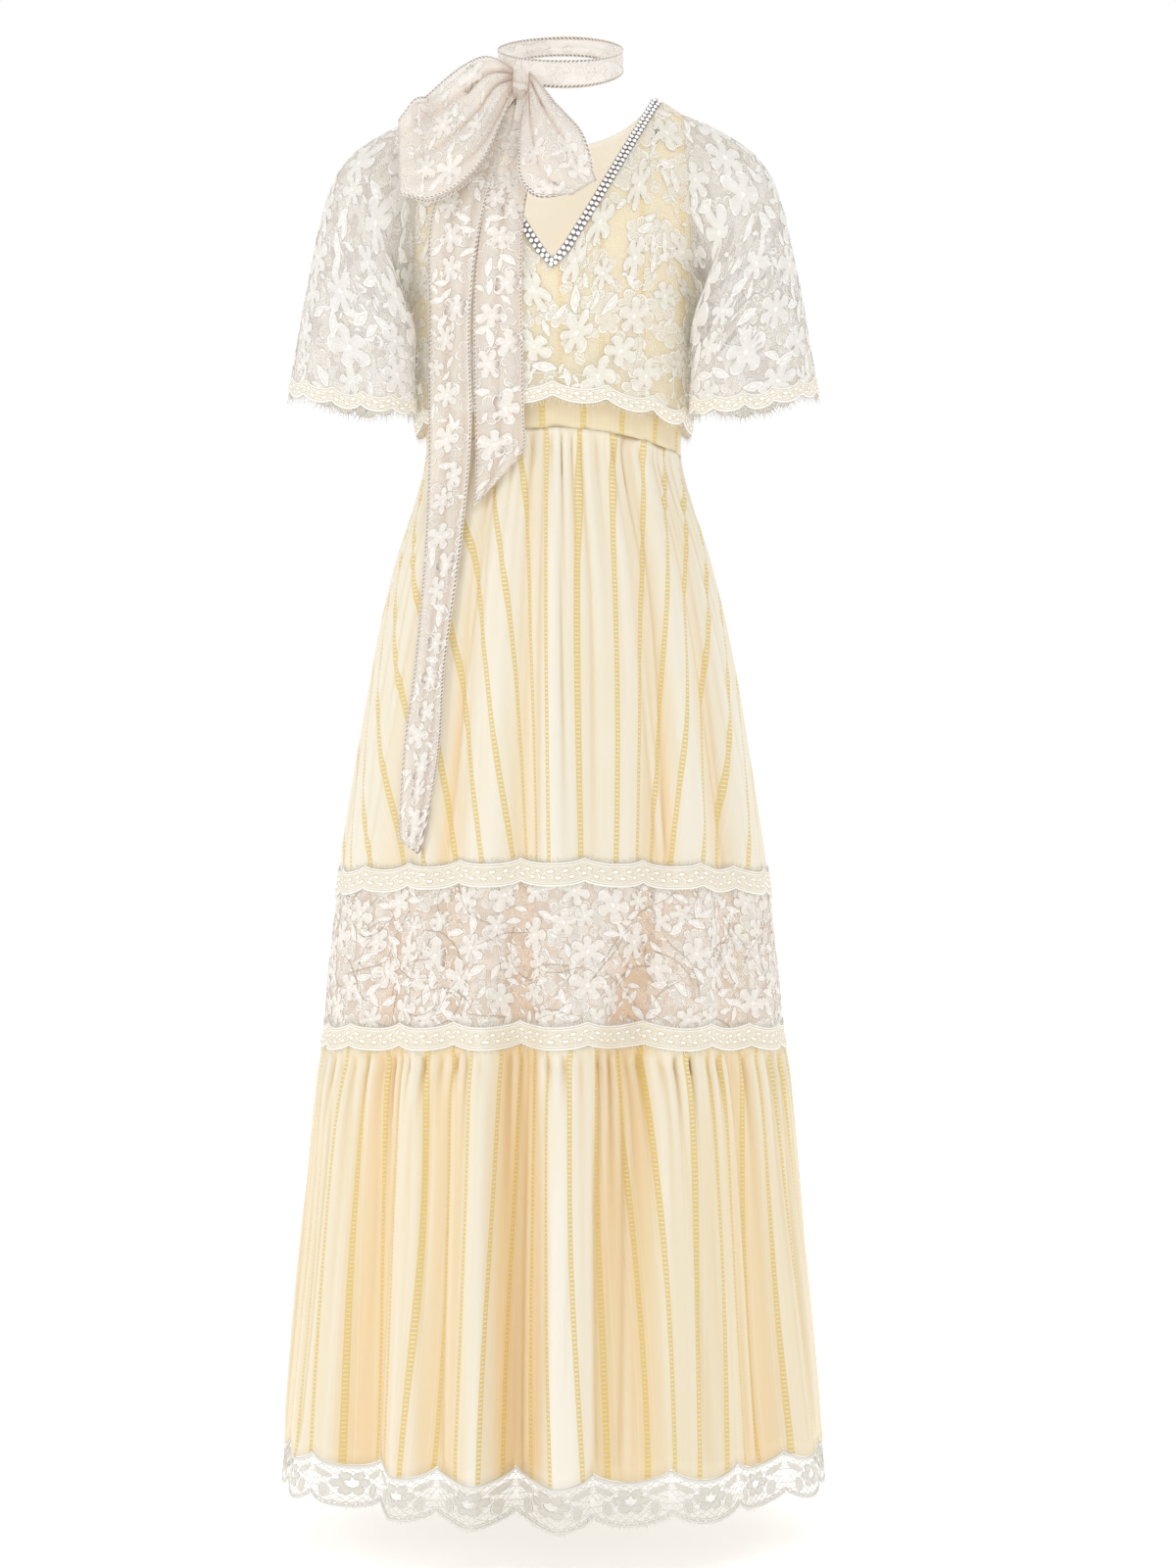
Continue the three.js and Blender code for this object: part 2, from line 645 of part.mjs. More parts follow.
// Point of the right sleeve's inner face at a turn round it and a share of its length
function sleevePoint(turn, along) {
  const value = (column) => tableValue(SLEEVE_ROWS, 'along', column, along);
  const outer = new THREE.Vector3(value('outerX'), 0, value('outerZ'));
  const inner = new THREE.Vector3(value('innerX'), 0, value('innerZ'));
  const point = inner.clone().lerp(outer, (1 + Math.cos(turn)) / 2);
  const sideways = Math.sin(turn);
  const round = Math.sign(sideways) * Math.abs(sideways) ** 0.85;
  const wave = SLEEVE_WAVE_OUT * along * along * Math.cos(SLEEVE_WAVES * turn);
  point.y = -round * (sideways > 0 ? value('front') : value('back')) * (1 + wave / value('front'));
  point.z -= SLEEVE_FRONT_DROP * along * sideways * sideways;
  return armholePoint(turn).lerp(point, smoothstep(along, 0, 0.3));
}

function addSleeves() {
  const fractions = SLEEVE_ROWS.map((row) => row.along);
  const rows = fractions.map((along) => {
    const row = [];
    for (let span = 0; span < SLEEVE_SPANS; span += 1) {
      const turn = 2 * Math.PI * span / SLEEVE_SPANS;
      const point = sleevePoint(turn, along);
      const round = sleevePoint(turn + 0.01, along).sub(sleevePoint(turn - 0.01, along));
      const down = sleevePoint(turn, Math.min(along + 0.01, 1)).sub(sleevePoint(turn, Math.max(along - 0.01, 0)));
      const outward = down.cross(round).normalize();
      if (along === 0) {
        outward.x = 0;
        outward.normalize();
      }
      if (along === 1 && span % 3 !== 0) {
        point.z -= SLEEVE_SCALLOP;
      }
      row.push({ point, outward });
    }
    return row;
  });
  addPiece('sleeve_right', wallGeometry(rows, LACE_WALL, true), 'lace');
  addPiece('sleeve_left', wallGeometry(mirrored(rows), LACE_WALL, true), 'lace');
}

// Torso surface at a place seen from the front, moved out by a distance
function torsoFront(x, height, distance) {
  const angle = angleAt(x, height, 0);
  const point = bodyPoint(angle, height);
  const outward = outwardOf(bodyPoint, angle, Math.min(height, shoulderHeight(x) - 2), false);
  return { point: point.addScaledVector(outward, distance), outward };
}

function addNeckTrim() {
  const lift = 2 * LAY_GAP + SATIN_WALL + LACE_WALL;
  const edge = (share, inset) => {
    const x = Math.sign(share) * Math.abs(share) * (NECK_HALF - 3);
    const height = lerp(V_TIP, NECK_HEIGHT, (Math.abs(x) / NECK_HALF) ** (1 / V_BOW));
    const lean = clamp(x / NECK_TRIM_WIDTH, -1, 1);
    return torsoFront(x + inset * lean * 0.85, height - inset * (1 - 0.5 * Math.abs(lean)), lift);
  };
  const rows = [0, NECK_TRIM_WIDTH].map((inset) => {
    const row = [];
    for (let span = -NECK_TRIM_SPANS; span <= NECK_TRIM_SPANS; span += 1) {
      row.push(edge(span / NECK_TRIM_SPANS, inset));
    }
    return row;
  });
  addPiece('neck_trim', wallGeometry(rows, NECK_TRIM_WALL), 'stones');
}

// Angle of a place on the ring at a height, grown by a distance
function angleAt(x, height, out) {
  const sine = x / (ringAt(height).halfWidth + out);
  return radToDeg(Math.asin(clamp(sine, -0.97, 0.97)));
}

// Depth of the dress's outermost front surface at a place
function frontOf(x, height) {
  if (height > LEVELS.overlayHem.side) {
    const out = overlayOut(height) + LACE_WALL;
    const chest = bodyPoint(angleAt(x, height, out), Math.min(height, 0)).y - out;
    const beside = smoothstep(Math.abs(x), SHOULDER_TIP - 10, SHOULDER_TIP + 14);
    return lerp(chest, Math.min(chest, -SLEEVE_ROWS[2].front - LACE_WALL), beside);
  }
  const ledge = OVERLAY_STAND_OFF * smoothstep(height, LEVELS.waist.side - 90, LEVELS.overlayHem.side);
  const out = SATIN_WALL + TRIM_GAP + TRIM_WALL + ledge;
  return skirtPoint(angleAt(x, height, out), height).y - out;
}

function knotSolid(margin) {
  const ball = new THREE.SphereGeometry(1, 14, 10);
  const places = ball.attributes.position;
  for (let index = 0; index < places.count; index += 1) {
    const place = new THREE.Vector3().fromBufferAttribute(places, index);
    const lump = 1 + 0.08 * Math.sin(3 * place.x + 4 * place.z);
    places.setXYZ(index, ...place.multiplyScalar(lump).toArray());
  }
  ball.scale(KNOT.radiusX + margin, KNOT.radiusY + margin, KNOT.radiusZ + margin);
  ball.translate(KNOT.x, KNOT.y, KNOT.z);
  return toSolid(ball);
}

// A scarf stretch, cut back to just clear of the knot
function addScarf(name, rows, wall) {
  const solid = toSolid(wallGeometry(rows, wall)).subtract(knotSolid(SEAM_GAP));
  const largest = solid.decompose().reduce((a, b) => (a.volume() > b.volume() ? a : b));
  addPiece(name, fromSolid(largest), 'scarf');
}

function addNeckRing() {
  const rows = [-0.5, 0, 0.5].map((share) => {
    const row = [];
    for (let span = 0; span <= NECK_RING.spans; span += 1) {
      const turn = degToRad(lerp(NECK_RING.from, NECK_RING.to, span / NECK_RING.spans));
      const facing = (1 + Math.cos(turn)) / 2;
      const tall = lerp(NECK_BAND.back, NECK_BAND.front, facing);
      const height = NECK_RING.middle - NECK_RING.rise * Math.cos(turn) - share * tall;
      const outward = new THREE.Vector3(Math.sin(turn), -Math.cos(turn), 0);
      const point = new THREE.Vector3(
        NECK_RING.centreX + NECK_RING.radiusX * Math.sin(turn),
        NECK_RING.centreY - NECK_RING.radiusY * Math.cos(turn),
        height,
      );
      row.push({ point, outward });
    }
    return row;
  });
  addScarf('scarf_neck_band', rows, NECK_BAND.wall);
}

// A bow loop: a front layer out to the fold and a rear layer back to the knot
function loopRows(table) {
  const front = table.map((place, index) => ({ ...place, out: place.off + place.puff, index }));
  const rear = table.map((place, index) => ({ ...place, out: place.off, index })).reverse();
  const last = table.length - 1;
  const rows = [...front, ...rear].map((place) => {
    const row = [];
    const leave = KNOT.y * (1 - place.index / last) - LOOP_LEAD;
    for (let span = 0; span <= LOOP_SPANS; span += 1) {
      const share = span / LOOP_SPANS;
      const x = lerp(place.topX, place.bottomX, share);
      const z = lerp(place.topZ, place.bottomZ, share);
      const swell = 1 + 0.25 * Math.sin(Math.PI * share);
      const y = Math.min(frontOf(x, z), leave) - place.out * swell;
      row.push({ point: new THREE.Vector3(x, place.index === 0 ? KNOT.y - place.out : y, z) });
    }
    return row;
  });
  return withOutward(rows);
}

// Sets each point's outward direction from its neighbours
function withOutward(rows) {
  const last = rows.length - 1;
  rows.forEach((row, index) => {
    row.forEach((place, column) => {
      const above = rows[Math.max(index - 1, 0)][column].point;
      const below = rows[Math.min(index + 1, last)][column].point;
      const before = row[Math.max(column - 1, 0)].point;
      const after = row[Math.min(column + 1, row.length - 1)].point;
      place.outward = below.clone().sub(above).cross(after.clone().sub(before)).normalize();
    });
  });
  return rows;
}

// A table's row at a share of its length, between its own rows
function tableRow(table, share) {
  const place = share * (table.length - 1);
  const first = Math.min(Math.floor(place), table.length - 2);
  const columns = Object.keys(table[0]);
  return Object.fromEntries(columns.map((column) => (
    [column, lerp(table[first][column], table[first + 1][column], place - first)])));
}

// A hanging tail, just clear of the dress, with soft folds along it
function tailRows(table, steps) {
  const rows = [];
  for (let step = 0; step <= steps; step += 1) {
    const place = tableRow(table, step / steps);
    const row = [];
    for (let span = 0; span <= TAIL_SPANS; span += 1) {
      const share = span / TAIL_SPANS;
      const x = lerp(place.left, place.right, share);
      const z = lerp(place.leftZ, place.rightZ, share);
      const over = lerp(SCARF_OFF, TRIM_CLEARANCE, smoothstep(z, V_TIP - 36, V_TIP));
      const fold = TAIL_FOLD * (span % 2) * (1 - smoothstep(z, V_TIP, -60));
      const hung = frontOf(x, z) - over - fold;
      const y = Math.min(hung, lerp(KNOT.y + TAIL_BEHIND, hung, 1 - smoothstep(z, -120, -20)));
      row.push({ point: new THREE.Vector3(x, y, z) });
    }
    rows.push(row);
  }
  return withOutward(rows);
}

function addScarfPieces() {
  addPiece('scarf_knot', fromSolid(knotSolid(0)), 'scarf');
  addNeckRing();
  addScarf('scarf_loop_left', loopRows(LEFT_LOOP), SCARF_WALL);
  addScarf('scarf_loop_right', loopRows(RIGHT_LOOP), SCARF_WALL);
  addScarf('scarf_tail_long', tailRows(LONG_TAIL, 24), SCARF_WALL);
  addScarf('scarf_tail_short', tailRows(SHORT_TAIL, 14), SCARF_WALL);
}

addSkirt();
addTorso();
addSleeves();
addNeckTrim();
addScarfPieces();

export default dress;
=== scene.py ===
import math
import random

import bmesh
import bpy
import numpy as np
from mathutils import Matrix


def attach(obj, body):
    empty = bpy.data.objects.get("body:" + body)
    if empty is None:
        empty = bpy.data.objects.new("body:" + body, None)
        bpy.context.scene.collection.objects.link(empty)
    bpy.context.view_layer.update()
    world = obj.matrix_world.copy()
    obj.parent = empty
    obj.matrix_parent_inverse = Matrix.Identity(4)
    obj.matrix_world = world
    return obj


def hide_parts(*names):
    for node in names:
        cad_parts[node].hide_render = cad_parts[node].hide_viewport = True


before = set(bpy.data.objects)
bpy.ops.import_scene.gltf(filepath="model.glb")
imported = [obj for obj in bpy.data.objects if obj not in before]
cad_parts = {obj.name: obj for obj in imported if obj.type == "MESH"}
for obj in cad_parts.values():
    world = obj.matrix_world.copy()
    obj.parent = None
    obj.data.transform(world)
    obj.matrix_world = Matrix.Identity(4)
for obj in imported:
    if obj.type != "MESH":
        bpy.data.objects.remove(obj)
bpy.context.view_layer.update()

# Tables and sizes below are in millimetres; meshes are made in metres
MM = 0.001
BODY = "root"

# Seams, edges and the shape of neck and shoulder, as in the solids
NECK_HALF = 102
NECK_HEIGHT = 2
V_TIP = -179
V_BOW = 0.9
BACK_NECK = -31
SHOULDER_SLOPE = 0.6
INNER_SLOPE = 0.35
SHOULDER_TIP = 129
UNDERARM = -215
ROUNDING_START = -125
SCALLOPS = 11
SATIN_WALL = 2
LACE_WALL = 1.5
TRIM_LIFT = 2.9
OVERLAY_GAP = 2.4
OVERLAY_STAND_OFF = 8
OVERLAY_SCALLOP = 9
OVERLAY_SCALLOPS = 8
HEM_SCALLOP = 13
CLOTH = 0.7

RINGS = [  # height, half width, front depth, back depth
    (10, 160, 60, 82),
    (-20, 159, 70, 90),
    (-60, 157, 88, 98),
    (-110, 153, 106, 104),
    (-160, 148, 117, 105),
    (-215, 141, 114, 102),
    (-265, 135, 104, 96),
    (-320, 130, 97, 91),
    (-362, 128, 97, 91),
    (-405, 138, 108, 102),
    (-465, 157, 126, 120),
    (-555, 178, 146, 140),
    (-675, 199, 168, 162),
    (-795, 217, 186, 181),
    (-915, 230, 197, 193),
    (-945, 231, 198, 195),
    (-985, 239, 204, 201),
    (-1095, 248, 215, 212),
    (-1215, 259, 228, 225),
    (-1335, 270, 240, 236),
    (-1400, 275, 245, 241),
]

LEVELS = {  # heights at the sides, the centre front and the centre back
    "overlay_hem": (-331, -309, -318),
    "band_top": (-318, -303, -312),
    "waist": (-362, -342, -356),
    "lace_top": (-794, -780, -790),
    "lace_bottom": (-948, -936, -946),
    "hem_join": (-1345, -1344, -1344),
    "hem": (-1385, -1386, -1385),
}

FOLD_HEIGHTS = (-350, -787, -942, -1395)
FOLDS = [  # angles at the four heights, half width, how far out at the four heights
    ((-66, -64, -63, -62), 13, (1, 5, 5, 9)),
    ((-46, -45, -45, -44), 10, (-2, -7, -12, -27)),
    ((-28, -28, -25, -23), 7, (-4, -9, -7, -11)),
    ((-15, -15, -16, -15), 7, (1, 3, 6, 9)),
    ((-8, -8, -8, -7), 8, (-2, -9, -24, -35)),
    ((1, 1, 3, 2), 9, (2, 6, 9, 15)),
    ((36, 28, 19, 15), 9, (-5, -13, -30, -6)),
    ((48, 40, 33, 31), 13, (1, 4, 6, 8)),
    ((56, 52, 51, 50), 9, (-3, -8, -7, -14)),
    ((70, 67, 66, 66), 12, (1, 4, 4, 7)),
    ((110, 112, 113, 114), 9, (-2, -6, -9, -17)),
    ((128, 127, 126, 126), 11, (1, 3, 5, 8)),
    ((140, 140, 141, 142), 9, (-3, -9, -14, -25)),
    ((163, 161, 160, 159), 10, (-3, -7, -6, -12)),
    ((174, 172, 171, 170), 9, (1, 4, 7, 11)),
    ((184, 184, 185, 186), 9, (-3, -10, -21, -31)),
    ((205, 207, 208, 208), 10, (-2, -7, -8, -12)),
    ((226, 227, 228, 229), 10, (-3, -8, -13, -24)),
    ((246, 247, 247, 248), 10, (1, 4, 5, 8)),
]

DEEP_FOLD = -10

SLEEVE_ROWS = [  # along, outer x, outer z, inner x, inner z, front depth, back depth
    (0, 129, -13, 143, -211, 50, 50),
    (0.12, 166, -28, 150, -217, 62, 56),
    (0.3, 203, -56, 152, -230, 73, 64),
    (0.5, 227, -95, 153, -248, 80, 70),
    (0.75, 247, -180, 153, -280, 88, 76),
    (1, 268, -296, 150, -316, 96, 82),
]
SLEEVE_WAVES = 7
SLEEVE_WAVE_OUT = 5
SLEEVE_FRONT_DROP = 14
SLEEVE_SCALLOP = 6
SLEEVE_SCALLOPS = 16
SLEEVE_OVERLAP = 40
SLEEVE_BACK_RISE = 16
ARMHOLE_GAP = 0.9
UNDERARM_GAP = 5


# Shape helpers

def table_value(keys, values, at):
    """Smooth value through a table's rows, for an array of places."""
    keys = np.asarray(keys, float)
    values = np.asarray(values, float)
    at = np.asarray(at, float)
    if keys[1] < keys[0]:
        keys = -keys
        at = -at
    row = np.clip(np.searchsorted(keys, at, side="right") - 1, 0, len(keys) - 2)
    before = np.maximum(np.arange(len(keys)) - 1, 0)
    after = np.minimum(np.arange(len(keys)) + 1, len(keys) - 1)
    slope = (values[after] - values[before]) / (keys[after] - keys[before])
    span = keys[row + 1] - keys[row]
    t = np.clip((at - keys[row]) / span, 0, 1)
    blend = t * t * (3 - 2 * t)
    bend = t * (1 - t) ** 2 * span * slope[row] + t * t * (t - 1) * span * slope[row + 1]
    return values[row] + (values[row + 1] - values[row]) * blend + bend


def smoothstep(x, low, high):
    t = np.clip((x - low) / (high - low), 0, 1)
    return t * t * (3 - 2 * t)


def ring_at(height):
    keys = [row[0] for row in RINGS]
    return [table_value(keys, [row[column] for row in RINGS], height) for column in (1, 2, 3)]


def level_at(name, angle):
    side, front, back = LEVELS[name]
    facing = np.cos(np.radians(angle))
    return side + (np.where(facing > 0, front, back) - side) * facing ** 2


def fold_out(angle, height):
    out = np.zeros(np.broadcast(angle, height).shape)
    for angles, half, depths in FOLDS:
        away = (angle - table_value(FOLD_HEIGHTS, angles, height)) / half
        near = np.cos(np.clip(away, -1, 1) * math.pi / 2)
        crisp = 1.15 if min(depths) < DEEP_FOLD else 2
        out += table_value(FOLD_HEIGHTS, depths, height) * np.clip(near, 0, 1) ** crisp
    return out


def shoulder_height(x):
    beyond = np.abs(x) - NECK_HALF
    return NECK_HEIGHT - beyond * np.where(beyond > 0, SHOULDER_SLOPE, INNER_SLOPE)


def body_point(angle, height):
    """Inner face of the garment at angles from the centre front and heights."""
    angle, height = np.broadcast_arrays(np.asarray(angle, float), np.asarray(height, float))
    half, front, back = ring_at(height)
    turn = np.radians(angle)
    depth = np.where(np.cos(turn) > 0, front, back)
    x = half * np.sin(turn)
    y = -depth * np.cos(turn)
    near = (height - ROUNDING_START) / (shoulder_height(x) - ROUNDING_START)
    y = y * np.sqrt(1 - np.clip(near, 0, 1) ** 2)
    return np.stack([x, y, height], -1)


def skirt_point(angle, height, extra=0):
    """Folded skirt at angles and heights, with extra moving it outwards."""
    angle, height = np.broadcast_arrays(np.asarray(angle, float), np.asarray(height, float))
    point = body_point(angle, height)
    half, front, back = ring_at(height)
    turn = np.radians(angle)
    depth = np.where(np.cos(turn) > 0, front, back)
    outward = np.stack([np.sin(turn) / half, -np.cos(turn) / depth, np.zeros_like(turn)], -1)
    outward /= np.linalg.norm(outward, axis=-1, keepdims=True)
    edge = smoothstep(np.abs(np.cos(turn)), 0, 0.2)
    out = fold_out(angle, height) * edge + extra * smoothstep(np.abs(np.cos(turn)), 0, 0.03)
    return point + outward * out[..., None]


def grid_normals(points, around=False):
    """Unit normals of a grid of points, rows by columns."""
    down = np.gradient(points, axis=0)
    if around:
        wide = np.concatenate([points[:, -2:-1], points, points[:, 1:2]], 1)
        across = np.gradient(wide, axis=1)[:, 1:-1]
    else:
        across = np.gradient(points, axis=1)
    normal = np.cross(down, across)
    return normal / np.maximum(np.linalg.norm(normal, axis=-1, keepdims=True), 1e-9)


def arc_lengths(row):
    steps = np.linalg.norm(np.diff(row, axis=0), axis=1)
    return np.concatenate([[0], np.cumsum(steps)])


# Mesh builders

BEYOND_EDGE = 100.0


class Cloth:
    """A grid of points on a cloth, with outward directions and cloth coordinates in mm."""

    def __init__(self, points, cloth_u, cloth_v, around=False):
        self.points = points
        self.around = around
        self.normals = grid_normals(points, around)
        self.u = np.broadcast_to(cloth_u, points.shape[:2])
        self.v = np.broadcast_to(cloth_v, points.shape[:2])
        self.painted_shade = np.zeros(points.shape[:2])
        self.painted_highlight = np.zeros(points.shape[:2])
        self.painted_crease_shade = np.zeros(points.shape[:2])
        self.edge = np.full(points.shape[:2], BEYOND_EDGE)

    def sample(self, row, column):
        """Points and normals between the grid's own, at fractional rows and columns."""
        rows, columns = self.points.shape[:2]
        row = np.clip(row, 0, rows - 1.001)
        column = column % (columns - 1) if self.around else np.clip(column, 0, columns - 1.001)
        r = row.astype(int)
        c = column.astype(int)
        tr = (row - r)[..., None]
        tc = (column - c)[..., None]
        found = []
        for field in (self.points, self.normals):
            upper = field[r, c] * (1 - tc) + field[r, c + 1] * tc
            lower = field[r + 1, c] * (1 - tc) + field[r + 1, c + 1] * tc
            found.append(upper * (1 - tr) + lower * tr)
        return found

    def steps(self, row, column):
        """Millimetres between neighbouring rows and columns at a grid place."""
        r = int(min(row, self.points.shape[0] - 2))
        c = int(min(column, self.points.shape[1] - 2))
        down = np.linalg.norm(self.points[r + 1, c] - self.points[r, c])
        across = np.linalg.norm(self.points[r, c + 1] - self.points[r, c])
        return max(down, 0.05), max(across, 0.05)

    def wide(self):
        """Length of the last row in metres."""
        return float(arc_lengths(self.points[-1])[-1]) * MM

    def face(self, row, column, toward):
        """Turns all normals round if the one at a grid place points away from a direction."""
        if np.dot(self.normals[row, column], toward) < 0:
            self.normals = -self.normals


def grid_corners(number):
    """Vertex numbers at the four corners of each face of a grid."""
    return [number[:-1, :-1], number[1:, :-1], number[1:, 1:], number[:-1, 1:]]


def grid_numbers(rows, columns, around):
    """Vertex numbers of a grid. Round a tube the last column is the first."""
    number = np.arange(rows * columns).reshape(rows, columns)
    if around:
        number[:, -1] = number[:, 0]
    return number


def tube_faces(number):
    """Faces of a tube of vertex numbers, rings by places round, closed at both ends."""
    following = np.roll(number, -1, axis=1)
    quads = np.stack([number[:-1], number[1:], following[1:], following[:-1]], -1).reshape(-1, 4)
    return quads.tolist() + [number[-1, ::-1].tolist(), number[0].tolist()]


def make_object(name, verts, faces, material):
    mesh = bpy.data.meshes.new(name)
    mesh.from_pydata(verts, [], faces)
    mesh.polygons.foreach_set("use_smooth", [True] * len(mesh.polygons))
    mesh.materials.append(material)
    obj = bpy.data.objects.new(name, mesh)
    bpy.context.scene.collection.objects.link(obj)
    return obj


def add_cloth(name, cloth, wall, material, lift=0.0, keep=None, relief=None, inside=None):
    """A closed thin wall on a cloth grid. keep says which faces stay, relief raises the outside."""
    rows, columns = cloth.points.shape[:2]
    raised = wall + lift + (0 if relief is None else relief)
    outer = cloth.points + cloth.normals * np.broadcast_to(raised, (rows, columns))[..., None]
    inner = cloth.points + cloth.normals * lift
    verts = np.concatenate([outer.reshape(-1, 3), inner.reshape(-1, 3)]) * MM
    number = grid_numbers(rows, columns, cloth.around)
    if keep is None:
        keep = np.ones((rows - 1, columns - 1), bool)
    corners = grid_corners(number)
    quads = np.stack([corner[keep] for corner in corners], -1)
    back = quads[:, ::-1] + rows * columns
    sides = []
    border = np.zeros((rows + 1, columns + 1), bool)
    border[1:-1, 1:-1] = keep
    if cloth.around:
        border[1:-1, 0] = keep[:, -1]
        border[1:-1, -1] = keep[:, 0]
    lower = rows * columns
    for step, first, second in (((-1, 0), 0, 3), ((1, 0), 2, 1), ((0, -1), 1, 0), ((0, 1), 3, 2)):
        neighbour = border[1 + step[0]:rows + step[0], 1 + step[1]:columns + step[1]]
        edge = keep & ~neighbour
        a = corners[first][edge]
        b = corners[second][edge]
        sides.append(np.stack([a, b, b + lower, a + lower], -1))
    faces = np.concatenate([quads, back] + sides)
    obj = make_object(name, verts.tolist(), faces.tolist(), material)
    mesh = obj.data
    set_cloth_data(mesh, cloth, 2)
    if inside:
        mesh.materials.append(inside)
        sides_of = np.zeros(len(mesh.polygons), np.int32)
        sides_of[len(quads):2 * len(quads)] = 1
        mesh.polygons.foreach_set("material_index", sides_of)
    used = np.zeros(len(verts), bool)
    used[faces.reshape(-1)] = True
    if not used.all():
        remove_loose(mesh)
    return obj


def set_cloth_data(mesh, cloth, layers):
    """Cloth coordinates in metres, the masks of painted shade, painted highlight and painted crease shade,
    and how far each point is from an edge.
    """
    index = np.zeros(len(mesh.loops), np.int32)
    mesh.loops.foreach_get("vertex_index", index)
    flat_u = np.tile(cloth.u.reshape(-1), layers)
    flat_v = np.tile(cloth.v.reshape(-1), layers)
    layer = mesh.uv_layers.new(name="cloth")
    layer.data.foreach_set("uv", (np.stack([flat_u[index], flat_v[index]], -1) * MM).reshape(-1))
    for name, values in (("painted_shade", cloth.painted_shade), ("painted_highlight", cloth.painted_highlight), ("painted_crease_shade", cloth.painted_crease_shade),
                         ("edge", cloth.edge)):
        held = mesh.attributes.new(name, "FLOAT", "POINT")
        held.data.foreach_set("value", np.tile(values.reshape(-1), layers))


def remove_loose(mesh):
    work = bmesh.new()
    work.from_mesh(mesh)
    loose = [vert for vert in work.verts if not vert.link_faces]
    bmesh.ops.delete(work, geom=loose, context="VERTS")
    work.to_mesh(mesh)
    work.free()


def finish_piece(obj, nodes=(), flat=None, area=None):
    """Rides the piece on the body and hides the solids it replaces. flat and area are not used."""
    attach(obj, BODY)
    if nodes:
        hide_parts(*nodes)


# Materials. Sizes are metres of cloth, but mm in the tapes and the hem lace

